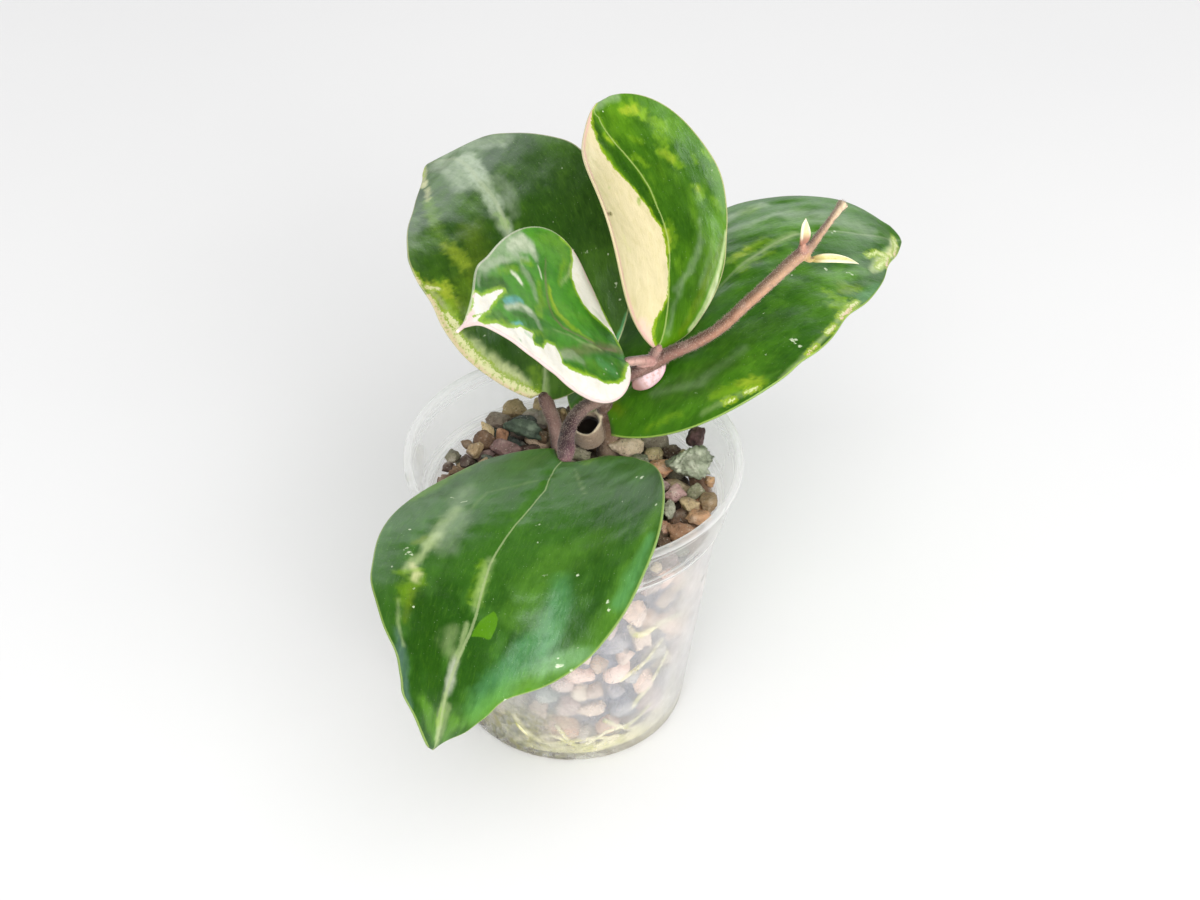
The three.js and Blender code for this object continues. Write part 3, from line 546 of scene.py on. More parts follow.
def buildStones():
    rng = np.random.default_rng(11)
    stones = []  # centre, three half axes as vectors, tone, level

    # On top
    keepOff = [(7.6, 18.6, 4.4), (4.8, 21.4, 4.2), (-5.6, 20.2, 2.6), (-2.6, 26.6, 1.5),
               (30.6, 9.6, 6.0), (-14.5, 22.4, 3.4), (33.2, 18.6, 3.2)]
    placed = list(keepOff)
    shown = []
    for tone, x, y, width, depth in shownTop:
        placed.append((x, y, 0.47 * min(width, depth) + 0.03 * width))
        shown.append((tone, width * packing["topScale"] / 2, depth * packing["topScale"] / 2))
    firstFill = len(placed)
    sizes = np.linspace(*packing["topRange"], packing["topStones"])

    def drawTop(count, size):
        reach = np.sqrt(rng.uniform(0, 1, count)) * (37.6 - size)
        angle = rng.uniform(0, 2 * math.pi, count)
        return np.column_stack([reach * np.cos(angle), reach * np.sin(angle)])

    def flatDistance(a, b):
        return np.linalg.norm(a - b, axis=-1)

    placed = packRound(placed, sizes, drawTop, flatDistance)
    for i, (x, y, size) in enumerate(placed[len(keepOff):]):
        known = i < firstFill - len(keepOff)
        if known:
            tone, wide, deep = shown[i]
        else:
            tone, wide, deep = fillTones[rng.integers(len(fillTones))], size * rng.uniform(1.0, 1.25), size
        tall = min(wide, deep) * rng.uniform(0.72, 0.95)
        turn = rng.uniform(-0.3, 0.3) if known else rng.uniform(0, math.pi)
        lean = rng.uniform(-0.22, 0.22, 2)
        z = surfaceHeight(x, y) - 0.25 * tall + rng.uniform(-0.5, 0.5) - (0.0 if known else 0.8)
        axisX = np.array([math.cos(turn), math.sin(turn), lean[0]])
        axisY = np.array([-math.sin(turn), math.cos(turn), lean[1]])
        axisZ = np.cross(axisX, axisY)
        axes = np.array([unit(axisX) * wide, unit(axisY) * deep, unit(axisZ) * tall])
        stones.append(("top", np.array([x, y, z]), axes, tone, 4 if known else 3))

    # A second, lower layer that shows between the top stones
    under = [(7.6, 18.6, 4.0), (-5.6, 20.2, 2.4)]
    under = packRound(under, np.linspace(4.4, 2.6, 90), drawTop, flatDistance)
    for x, y, size in under[2:]:
        axes = np.array([[size * 1.1, 0, 0], [0, size, 0], [0, 0, size * 0.85]])
        tone = fillTones[rng.integers(len(fillTones))]
        centre = np.array([x, y, surfaceHeight(x, y) - 4.6 + rng.uniform(-0.6, 0.6)])
        stones.append(("under", centre, axes, tone, 3))

    # Against the wall: places are arc length at a middle radius, and height
    middle = packing["middle"]
    placed = []
    shown = []
    for tone, degrees, z, width, height in shownWall:
        placed.append((math.radians(degrees) * middle, z, 0.3 * (width + height)))
        shown.append((tone, width * packing["shownScale"] / 2, height * packing["shownScale"] / 2))
    around = 2 * math.pi * middle

    def drawWall(count, size):
        arc = rng.uniform(0, around, count)
        return np.column_stack([arc, rng.uniform(1.8 + size * 0.9, 70.0 - size * 0.5, count)])

    def wallDistance(a, b):
        arc = np.abs(a[..., 0] - b[..., 0]) % around
        arc = np.minimum(arc, around - arc) * innerRadius(b[..., 1]) / middle
        return np.hypot(arc, a[..., 1] - b[..., 1])

    sizes = np.linspace(*packing["wallRange"], packing["wallStones"]) * 0.95
    placed = packRound(placed, sizes, drawWall, wallDistance)
    for i, (arc, z, size) in enumerate(placed):
        if i < len(shown):
            tone, wide, high = shown[i]
        else:
            tone = wallTones[rng.integers(len(wallTones))]
            wide = size * rng.uniform(0.95, 1.22)
            high = size * rng.uniform(0.85, 1.05)
            tone = "brown" if tone in ("blueGrey", "creamPink") and z > 58 else tone
        deep = min(wide, high) * rng.uniform(0.7, 0.9)
        angle = arc / middle
        outward = np.array([math.cos(angle), math.sin(angle), 0.0])
        along = np.array([-math.sin(angle), math.cos(angle), 0.0])
        lean = rng.uniform(-0.5, 0.5) if i >= len(shown) else rng.uniform(-0.15, 0.15)
        first = along * math.cos(lean) + np.array([0, 0, math.sin(lean)])
        second = np.array([0, 0, math.cos(lean)]) - along * math.sin(lean)
        centre = outward * (innerRadius(z) - 0.35 - deep * 0.98) + np.array([0, 0, z])
        stones.append(("wall", centre, np.array([first * wide, second * high, outward * deep]), tone, 3))
    return stones, rng


stones, rng = buildStones()
groups = {}
for group, centre, axes, tone, level in stones:
    form, faces = stoneForm(rng, level, 1.0 if group != "wall" else 0.85)
    points = form @ axes + centre
    z = np.maximum(points[:, 2], packing["lowest"])
    points[:, 2] = z
    radius = np.hypot(points[:, 0], points[:, 1])
    wall = innerRadius(np.minimum(z, packing["wallTop"]))
    limit = np.where(z < packing["wallTop"], wall, 39.0 + (z - packing["wallTop"]) * 0.2) - 0.3
    points[:, :2] *= np.minimum(1, limit / np.maximum(radius, 1e-6))[:, None]
    parts, tints, wallLitShares = groups.setdefault(group, ([], [], []))
    parts.append((points * mm, faces))
    tints.append(np.tile(toneOf(tone, rng), (len(points), 1)))
    # painted light: points within 2 mm of the wall get a share of painted paleness
    depth = wall - np.hypot(points[:, 0], points[:, 1])
    wallLitShares.append(np.clip((2.0 - depth) / 1.5, 0, 1) * (z < 69))
gravelLook = stoneLook("gravelStone", 0.35)
for group, (parts, tints, wallLitShares) in groups.items():
    points, faces = joined(parts)
    makePiece("gravel_" + group, points, faces, gravelLook, ["gravel"],
              {"tint": np.vstack(tints), "wallLitShare": np.concatenate(wallLitShares)})
    print("gravel", group, len(parts), "stones,", len(faces), "faces")

# The dark filling between and behind the stones; its dark tones are painted shade for the deep gaps
coreProfile = [(0, 1.8), (24, 1.8), (27.4, 3.5)]
coreProfile += [(innerRadius(z) - 3.4, z) for z in np.linspace(6, 64, 24)]
coreProfile += [(33.5, 66.2)] + [(r, 66.8) for r in np.linspace(31, 2, 14)] + [(0, 66.8)]
corePoints, coreFaces = latheMesh(coreProfile, 96)
coreRng = np.random.default_rng(5)
swell = waves(corePoints, coreRng, 6 * mm) * 0.7 * mm
flat = np.linalg.norm(corePoints[:, :2], axis=1)
corePoints[:, :2] *= (1 + swell / np.maximum(flat, 5 * mm))[:, None]
raised = corePoints[:, 2] + np.where(corePoints[:, 2] > 60 * mm, swell, 0)
corePoints[:, 2] = np.maximum(raised, packing["lowest"] * mm)
coreLook = Look("gravelGapShade")
corePlace = coreLook.place()
coreHeight = coreLook.axis(corePlace, 2)
coreGrain = coreLook.noise(corePlace, 420, 4, 0.7).above(0.42, 0.68)
# painted shade: the filling's dark blue-grey and brown tones stand for the shade in the gaps between the
# stones
coreLow = coreLook.mix(rgb(74, 82, 102), rgb(124, 130, 148), coreGrain)
coreHigh = coreLook.mix(rgb(56, 46, 38), rgb(110, 96, 84), coreGrain)
coreColour = coreLook.mix(coreLow, coreHigh, coreHeight.above(60 * mm, 66 * mm))
coreColour = coreLook.mix(coreColour, rgb(226, 216, 184), 0.85 * (1 - coreHeight.above(5 * mm, 13 * mm)))
coreBump = coreLook.bump(coreLook.noise(corePlace, 700, 4, 0.7), 0.9, 0.8 * mm)
coreSkin = coreLook.finish(Base_Color=coreColour, Roughness=0.95, Normal=coreBump)
makePiece("gravel_dust", corePoints, coreFaces, coreSkin, ["gravel"])

# Three larger stones that lie on top. The chunk's sides: angle round its face, lean forwards, distance
chunkSides = [(133, 12, 3.3), (115, -14, 3.1), (61, 8, 5.3), (61, -30, 4.6), (7, 18, 5.2), (-28, 6, 5.5),
              (-103, -10, 3.8), (-118, 30, 4.0), (-120, -8, 4.5), (20, 62, 3.4), (150, 70, 3.0),
              (-90, 66, 3.3), (90, -70, 3.6), (-60, -66, 3.6)]
chunkAxes = np.array([[1, 0, 0], [0, 0.632, 0.775], [0, -0.775, 0.632]])


def chunkPlanes():
    normals = []
    for angle, lean, _ in chunkSides:
        a, b = math.radians(angle), math.radians(lean)
        way = np.array([math.cos(a) * math.cos(b), math.sin(a) * math.cos(b), math.sin(b)])
        normals.append(way @ chunkAxes)
    return np.array(normals), np.array([side[2] for side in chunkSides])


featureStones = {
    "stone_sage": {"at": (31.2, 9.2, 75.4), "half": (7.0, 4.9, 4.6), "turn": 0, "seed": 5,
    "slot": "sage_stone",
                   "base": rgb(150, 158, 134), "light": rgb(194, 198, 176), "dark": rgb(92, 98, 76)},
    "stone_slate": {"at": (-14.5, 22.4, 75.2), "half": (5.9, 2.5, 2.8), "turn": -14, "seed": 9,
    "slot": "slate_stone",
                    "base": rgb(78, 92, 76), "light": rgb(122, 136, 116), "dark": rgb(44, 52, 46)},
    "stone_brown": {"at": (33.2, 18.6, 76.2), "half": (3.2, 2.8, 3.5), "turn": 30, "seed": 14,
    "slot": "brown_stone",
                    "base": rgb(88, 66, 64), "light": rgb(132, 108, 104), "dark": rgb(46, 34, 34)},
}
for name, stone in featureStones.items():
    rng = np.random.default_rng(stone["seed"])
    form, faces = stoneForm(rng, 5, 1.3, chunkPlanes()) if name == "stone_sage" else stoneForm(rng, 5, 0.8)
    relief = 1 + 0.05 * waves(form, rng, 1.1) + 0.025 * waves(form, rng, 0.45)
    relief += 0.014 * waves(form, rng, 0.16)
    form *= relief[:, None]
    form /= np.abs(form).max(axis=0)
    turned = np.array(Matrix.Rotation(math.radians(stone["turn"]), 3, "Z"))
    points = ((form * np.array(stone["half"])) @ turned.T + np.array(stone["at"])) * mm
    look = Look(name)
    place = look.place()
    broad = look.noise(place, 210, 5, 0.62)
    fine = look.noise(place, 1300, 4, 0.7)
    patches = look.cells(place, 330)
    colour = look.mix(stone["base"], stone["light"], broad.above(0.48, 0.7))
    hollows = (1 - broad.above(0.3, 0.46)).most(0.6 * patches.above(0.5, 0.8))
    colour = look.mix(colour, stone["dark"], hollows)
    colour = look.mix(colour, stone["light"], 0.6 * fine.above(0.6, 0.7))
    colour = look.mix(colour, stone["dark"], 0.7 * (1 - fine.above(0.3, 0.4)))
    normal = look.bump(0.6 * broad + 0.4 * fine, 0.8, 0.9 * mm)
    skinLook = look.finish(Base_Color=colour, Roughness=0.7 + 0.2 * fine, Normal=normal)
    makePiece(name + "_form", points, faces, skinLook, [name])
print("gravel built")


# Stem, vine, petioles and stump: tubes melted into one skin. Tones run along each branch.
branches = {
    "oldStem": {
        "points": [[9, 21.5, 50], [9, 22, 64], [9.2, 22.4, 73], [8.9, 21.5, 80], [8.2, 19.8, 84.6],
            [7.6, 18.4, 87.4], [7.4, 17.4, 90.6]],
        "radii": [3.2, 3.3, 3.2, 2.9, 2.5, 2.3, 2.2],
        # The last tones darken towards the top: partly the stem's own darker brown, partly painted shade
        "tones": [(128, 116, 102), (150, 132, 112), (112, 88, 72), (84, 58, 48)],
    },
    "buriedStem": {
        "points": [[-5.5, 16.8, 57], [2, 19, 53], [9.5, 21.8, 52]],
        "radii": [2.2, 2.7, 2.9],
        "tones": [(120, 104, 92), (120, 104, 92)],
    },
    "vine": {
        "points": [[7.4, 17.3, 89.6], [8.7, 17.6, 93.2], [11.6, 18.1, 96.2], [16, 18.9, 98],
            [20.9, 22, 99.2], [25, 22.9, 101.4], [29.5, 23.6, 103.4], [32.9, 23.9, 105.3],
            [36.3, 24.1, 107.8], [39.6, 24.1, 111.1], [43.1, 24.1, 115.6], [48.2, 24.9, 121.2],
            [52.9, 25.4, 126.7], [56.6, 25.6, 131.1], [58.8, 26.7, 132.5], [60.8, 28.6, 133.6],
            [63.4, 31.5, 135.8], [65.7, 34.4, 137.4], [68, 36.9, 139.6], [69, 38, 140.5]],
        "radii": [2.1, 2, 1.9, 1.85, 2.2, 1.8, 1.7, 1.7, 1.65, 1.65, 1.65, 1.65, 1.65, 1.75, 1.9, 1.2, 1,
            0.95, 1.1, 1.6],
        "tones": [(98, 72, 68), (104, 76, 70), (112, 80, 72), (134, 96, 84), (152, 110, 92),
            (160, 118, 96), (168, 128, 102), (174, 140, 112), (160, 124, 100), (172, 142, 114),
            (206, 184, 152)],
    },
    "frontPetiole": {
        "points": [[7.6, 17.4, 90.6], [6.2, 15.5, 91.2], [4.3, 13, 91.6], [2.1, 10, 92], [-0.1, 6.5, 91.8],
            [-1.5, 3, 90.7], [-2, -0.5, 89.6], [-2, -3.5, 88.4], [-2.3, -6.4, 87.2]],
        "radii": [1.9, 1.9, 1.85, 1.85, 1.9, 2, 2.2, 2.4, 1.6],
        "tones": [(118, 92, 84), (130, 106, 96), (120, 96, 90), (96, 74, 74), (84, 60, 66), (88, 58, 68),
            (112, 78, 84)],
    },
    "backPetiole": {
        "points": [[-4, 17.5, 56], [-4.4, 18.6, 66], [-5.3, 20.2, 76], [-6.7, 20.1, 82], [-8.2, 21, 86],
            [-9.1, 21.5, 88]],
        "radii": [2, 2, 1.95, 1.9, 2, 1.4],
        "tones": [(122, 100, 92), (126, 102, 96), (140, 114, 108), (122, 96, 90), (110, 84, 76)],
    },
    "rightPetiole": {
        "points": [[8.2, 19.6, 85], [8.6, 20.2, 85.8], [9, 20.6, 86.6]],
        "radii": [1.7, 1.5, 1.1],
        "tones": [(92, 70, 62), (112, 96, 66)],
    },
    "uprightPetiole": {
        "points": [[20.3, 21.9, 99.5], [21, 22.8, 101.2], [21.9, 23.9, 103.6]],
        "radii": [1.9, 1.5, 1.1],
        "tones": [(140, 104, 96), (160, 122, 112)],
    },
    "curledPetiole": {
        "points": [[20.3, 21.9, 99.7], [17.4, 19.7, 101.3], [14.4, 17.6, 102.5], [12.8, 16.9, 103]],
        "radii": [1.9, 1.4, 1.3, 0.9],
        "tones": [(150, 108, 102), (186, 150, 140)],
    },
    "youngUpFoot": {
        "points": [[58.4, 26.4, 132.8], [58.1, 26.2, 134.6], [58.1, 26.2, 135.6]],
        "radii": [1.6, 1.1, 0.7],
        "tones": [(140, 104, 92), (176, 128, 108)],
    },
    "youngSideFoot": {
        "points": [[58.9, 26.2, 132], [60, 25.5, 131], [61.6, 25.2, 131.2]],
        "radii": [1.4, 0.9, 0.6],
        "tones": [(156, 118, 96), (186, 164, 100)],
    },
}
stump = {"foot": (4.0, 20.3, 74.8), "mouth": (2.9, 16.6, 82.4), "radius": 4.15, "hole": 3.35, "depth": 4.6,
         "sides": 40, "samples": 12, "tone": (142, 124, 106)}
skin = {"voxel": 0.28, "smoothing": 5, "hairs": 5200, "hairLength": (0.35, 0.85), "hairRadius": 0.05,
        "ringStep": 0.8, "sides": 20, "rough": 0.015}


def stumpForm():
    foot, mouth = np.array(stump["foot"]), np.array(stump["mouth"])
    axis = unit(mouth - foot)
    side = unit(np.cross(axis, [0, 0, 1]))
    other = np.cross(axis, side)
    length = np.linalg.norm(mouth - foot)
    radius, hole, bottom = stump["radius"], stump["hole"], length - stump["depth"]
    profile = [(0.01, 0), (radius * 1.12, 0), (radius * 1.08, length * 0.5), (radius, length - 1.2),
               (radius * 0.97, length - 0.3), (radius * 0.86, length), (hole * 1.12, length - 0.1),
               (hole * 0.96, length - 0.8), (hole * 0.85, bottom), (0.01, bottom - 0.5)]
    sides = stump["sides"]
    angles = np.arange(sides) * 2 * math.pi / sides
    wobble = [1 + 0.06 * math.sin(2 * a + 0.7) + 0.04 * math.sin(3 * a + 2) for a in angles]
    lift = [0.35 * math.sin(a * 2 + 1.2) + 0.2 * math.sin(a * 5) for a in angles]
    points = []
    for radius, along in profile:
        for k in range(sides):
            angle = 2 * math.pi * k / sides
            rise = along + lift[k] * (along > length - 1.5)
            spoke = side * math.cos(angle) + other * math.sin(angle)
            points.append(foot + axis * rise + radius * wobble[k] * spoke)
    ends = [tuple(range(sides))[::-1], tuple(range((len(profile) - 1) * sides, len(profile) * sides))]
    return np.array(points) * mm, ringFaces(len(profile), sides) + ends


def melt(parts, name, voxel, smoothing):
    points, faces = joined(parts)
    mesh = bpy.data.meshes.new(name)
    mesh.from_pydata(points.tolist(), [], faces)
    raw = addObject(name, mesh)
    remesh = raw.modifiers.new("melt", "REMESH")
    remesh.mode = "VOXEL"
    remesh.voxel_size = voxel * mm
    smooth = raw.modifiers.new("smooth", "SMOOTH")
    smooth.factor = 0.5
    smooth.iterations = smoothing
    applyModifiers(raw)
    points = np.empty(len(raw.data.vertices) * 3)
    raw.data.vertices.foreach_get("co", points)
    faces = [tuple(face.vertices) for face in raw.data.polygons]
    normals = np.array([v.normal[:] for v in raw.data.vertices])
    bpy.data.objects.remove(raw)
    return points.reshape(-1, 3), faces, normals


def nearestOn(points, samples):
    tree = KDTree(len(samples))
    for i, sample in enumerate(samples):
        tree.insert(sample, i)
    tree.balance()
    return np.array([tree.find(point)[1] for point in points])


stemParts, samplePlaces, sampleTones, sampleRuns, sampleAxes = [], [], [], [], []
stemRng = np.random.default_rng(17)
for order, (name, branch) in enumerate(branches.items()):
    length = sum(math.dist(a, b) for a, b in zip(branch["points"], branch["points"][1:]))
    rings = max(8, int(length / skin["ringStep"]))
    run, radii = np.array(branch["points"]) * mm, np.array(branch["radii"]) * mm
    stemParts.append(tube(run, radii, rings, skin["sides"], skin["rough"], stemRng))
    centres, _ = smoothRun(run, rings)
    shares = np.linspace(0, 1, rings)
    toneTable = np.array([rgb(*tone) for tone in branch["tones"]])
    places = np.linspace(0, 1, len(toneTable))
    samplePlaces.append(centres)
    sampleTones.append(np.column_stack([np.interp(shares, places, toneTable[:, k]) for k in range(4)]))
    sampleRuns.append(np.full(rings, order))
    sampleAxes.append(np.gradient(centres, axis=0))
stemParts.append(stumpForm())
foot, mouth = np.array(stump["foot"]) * mm, np.array(stump["mouth"]) * mm
count = stump["samples"]
samplePlaces.append(foot + np.outer(np.linspace(0, 1, count), mouth - foot))
sampleTones.append(np.tile(np.array(rgb(*stump["tone"])), (count, 1)))
sampleRuns.append(np.full(count, len(branches)))
sampleAxes.append(np.tile((mouth - foot) / count, (count, 1)))
samplePlaces, sampleTones = np.vstack(samplePlaces), np.vstack(sampleTones)
sampleAxes, sampleRuns = np.vstack(sampleAxes), np.concatenate(sampleRuns)

stemPoints, stemFaces, stemNormals = melt(stemParts, "stemSkin", skin["voxel"], skin["smoothing"])
near = nearestOn(stemPoints, samplePlaces)
stemTones = sampleTones[near]
# painted light and shade: the tones are lighter where the skin faces right, front and down, and darker on the
# upper left side
paintedLightSide = np.clip(0.5 + stemNormals @ np.array([0.75, -0.5, -0.62]), 0, 1)
stemTones[:, :3] *= (0.4 + 1.05 * paintedLightSide)[:, None]
axis = unit(mouth - foot)
fromMouth = stemPoints - mouth
alongAxis = fromMouth @ axis
offAxis = np.linalg.norm(fromMouth - np.outer(alongAxis, axis), axis=1)
ringShare = np.clip(1.2 - np.abs(alongAxis) / (0.8 * mm), 0, 1) * (offAxis > 2.2 * mm) * (offAxis < 4.8 * mm)
litWall = (fromMouth @ np.array([0.62, 0.3, 0.72])) / (3 * mm)  # the inner wall's upper right side, which is lit, so the painted shade starts deeper there
# painted shade: the stump's hole is painted near black from a little below its mouth downwards
holeShadeShare = np.clip((-alongAxis - (0.8 + 1.9 * np.clip(litWall, 0, 1)) * mm) / (1.4 * mm), 0, 1)
holeShadeShare = holeShadeShare * (offAxis < 3.7 * mm) * (alongAxis > -6.4 * mm)
stemPoints = stemPoints + stemNormals * (0.05 * mm * waves(stemPoints, stemRng, 1.6 * mm))[:, None]


def stemLook():
    look = Look("stemSkin")
    place = look.place()
    tint = look.field("tint", "Color")
    streaks = look.noise(look.stretched(place, (1, 1, 0.45)), 900, 4, 0.65)
    blotch = look.noise(place, 260, 3, 0.6)
    scurf = look.noise(place, 3200, 2, 0.6)
    colour = look.mix(tint, rgb(66, 44, 44), 0.3 * (1 - streaks.above(0.3, 0.52)))
    colour = look.mix(colour, rgb(196, 172, 158), 0.24 * blotch.above(0.45, 0.75))
    colour = look.mix(colour, rgb(224, 206, 190), 0.42 * scurf.above(0.56, 0.68))
    colour = look.mix(colour, rgb(226, 212, 180), look.field("cutRing") * 0.8)
    # painted shade inside the stump's hole
    colour = look.mix(colour, rgb(26, 18, 14), look.field("holeShade"))
    normal = look.bump(0.7 * streaks + 0.3 * scurf, 0.5, 0.25 * mm)
    return look.finish(Base_Color=colour, Roughness=0.5 + 0.3 * blotch, Normal=normal, Sheen_Weight=0.25,
                       Sheen_Roughness=0.4, Specular_IOR_Level=0.4)


makePiece("stem_skin", stemPoints, stemFaces, stemLook(), ["stem"],
          {"tint": stemTones, "cutRing": ringShare, "holeShade": holeShadeShare})

# Short hairs on the vine and the petioles, each a thin cone
hairyNames = ("vine", "uprightPetiole", "frontPetiole", "backPetiole")
hairyRuns = [list(branches).index(name) for name in hairyNames]
hairy = np.where(np.isin(sampleRuns[near], hairyRuns) & (stemPoints[:, 2] > 74 * mm))[0]
chosen = stemRng.choice(hairy, min(skin["hairs"], len(hairy)), replace=False)
hairPoints, hairFaces = [], []
for index in chosen:
    normal = stemNormals[index]
    way = unit(normal + 0.35 * unit(sampleAxes[near[index]]) + stemRng.normal(scale=0.25, size=3))
    side = unit(np.cross(way, [0.2, 0.5, 0.8]))
    other = np.cross(way, side)
    length = stemRng.uniform(*skin["hairLength"]) * mm
    root = stemPoints[index] - normal * 0.05 * mm
    base = len(hairPoints)
    for turn in (0, 2.0944, 4.1888):  # thirds of a turn
        hairPoints.append(root + skin["hairRadius"] * mm * (side * math.cos(turn) + other * math.sin(turn)))
    hairPoints.append(root + way * length)
    hairFaces += [(base, base + 1, base + 3), (base + 1, base + 2, base + 3), (base + 2, base, base + 3),
                  (base, base + 2, base + 1)]
hairLook = Look("stemHair")
hairColour = hairLook.mix(rgb(206, 188, 172), rgb(150, 120, 106), hairLook.noise(hairLook.place(), 800, 2))
hairSkin = hairLook.finish(Base_Color=hairColour, Roughness=0.6)
makePiece("stem_hairs", hairPoints, hairFaces, hairSkin, ())

stalk = {"points": [[-2.2, 28, 60], [-2.2, 28, 72], [-3, 26.2, 76], [-3.6, 24.2, 80]],
    "radii": [1.1, 1.1, 1, .8],
         "rings": 60, "sides": 24, "rough": 0.06}
run, radii = np.array(stalk["points"]) * mm, np.array(stalk["radii"]) * mm
stalkPoints, stalkFaces = tube(run, radii, stalk["rings"], stalk["sides"], stalk["rough"], stemRng)
stalkLook = Look("dryStalk")
stalkPlace = stalkLook.place()
fibre = stalkLook.noise(stalkLook.stretched(stalkPlace, (1, 1, 0.12)), 1800, 3, 0.6)
stalkColour = stalkLook.mix(rgb(150, 124, 86), rgb(206, 182, 138), fibre.above(0.35, 0.65))
stalkBump = stalkLook.bump(fibre, 0.6, 0.2 * mm)
stalkSkin = stalkLook.finish(Base_Color=stalkColour, Roughness=0.8, Normal=stalkBump)
makePiece("dry_stalk_form", stalkPoints, stalkFaces, stalkSkin, ["dry_stalk"])
print("stem built,", len(stemFaces), "faces,", len(chosen), "hairs")

# Roots that run between the stones and along the wall
rootRuns = [
    {"from": [[6, 14, 50], [12, -6, 52]], "wall": [[-62, 50], [-45, 48], [-27, 43]]},
    {"from": [[2, 14, 47], [-6, -4, 34]], "wall": [[-118, 16], [-97, 4.4], [-72, 4], [-48, 5], [-30, 12],
     [-14, 27]]},
    {"from": [[-4, 12, 50], [-16, -6, 40]], "wall": [[-136, 30], [-124, 18], [-112, 12]]},
    {"from": [[12, 26, 46]], "wall": [[78, 30], [96, 16], [124, 6]]},
    {"wall": [[-130, 8], [-114, 3.6], [-96, 3.1], [-78, 3.8], [-60, 3.1], [-44, 4.4], [-28, 3.4]]},
    {"wall": [[-72, 15], [-59, 8.5], [-46, 5.8], [-34, 8], [-22, 14]]},
    {"wall": [[-104, 3.8], [-90, 6.8], [-75, 7.6], [-62, 4.8], [-50, 7]]},
    {"wall": [[-58, 17], [-47, 24], [-38, 33]]},
    {"wall": [[-66, 31], [-54, 35], [-44, 41]]},
    {"wall": [[-112, 5], [-98, 9], [-84, 5], [-70, 9.5], [-56, 10], [-44, 14]]},
    {"wall": [[-96, 14], [-88, 6], [-78, 3.6], [-66, 6.5], [-54, 3.6], [-40, 7]]},
    {"wall": [[-120, 2.6], [-106, 2.3], [-92, 2.6], [-78, 2.3], [-64, 2.7], [-50, 2.3], [-34, 2.9],
     [-20, 5]]},
    {"wall": [[-84, 3.4], [-70, 2.9], [-57, 4.6], [-46, 2.8], [-34, 5.6], [-25, 10]]},
]
rootSize = {"radius": 0.9, "inset": 1.35, "thinRadius": 0.55, "thinInset": 0.9, "start": [5, 18.6, 48.6],
            "rings": 110, "sides": 14, "rough": 0.07}
rootParts = []
for run in rootRuns:
    thin = "from" not in run
    points = [] if thin else [rootSize["start"]] + run["from"]
    for degrees, z in run["wall"]:
        reach = innerRadius(z) - rootSize["thinInset" if thin else "inset"]
        points.append([reach * math.cos(math.radians(degrees)), reach * math.sin(math.radians(degrees)), z])
    radii = np.linspace(1.15, 0.75, len(points)) * rootSize["thinRadius" if thin else "radius"]
    rootParts.append(tube(np.array(points) * mm, radii * mm, rootSize["rings"], rootSize["sides"],
                          rootSize["rough"], stemRng))
rootPoints, rootFaces = joined(rootParts)
rootLook = Look("rootSkin")
rootPlace = rootLook.place()
rootColour = rootLook.mix(rgb(236, 230, 190), rgb(196, 194, 122),
    rootLook.noise(rootPlace, 300, 3).above(0.42, 0.62))
rootColour = rootLook.mix(rootColour, rgb(226, 214, 180),
    0.6 * rootLook.noise(rootPlace, 900, 3).above(0.52, 0.66))
rootBump = rootLook.bump(rootLook.noise(rootPlace, 1400, 3), 0.5, 0.2 * mm)
rootSkin = rootLook.finish(Base_Color=rootColour, Roughness=0.6, Normal=rootBump)
makePiece("root_runs", rootPoints, rootFaces, rootSkin, ["roots"])
print("roots built")


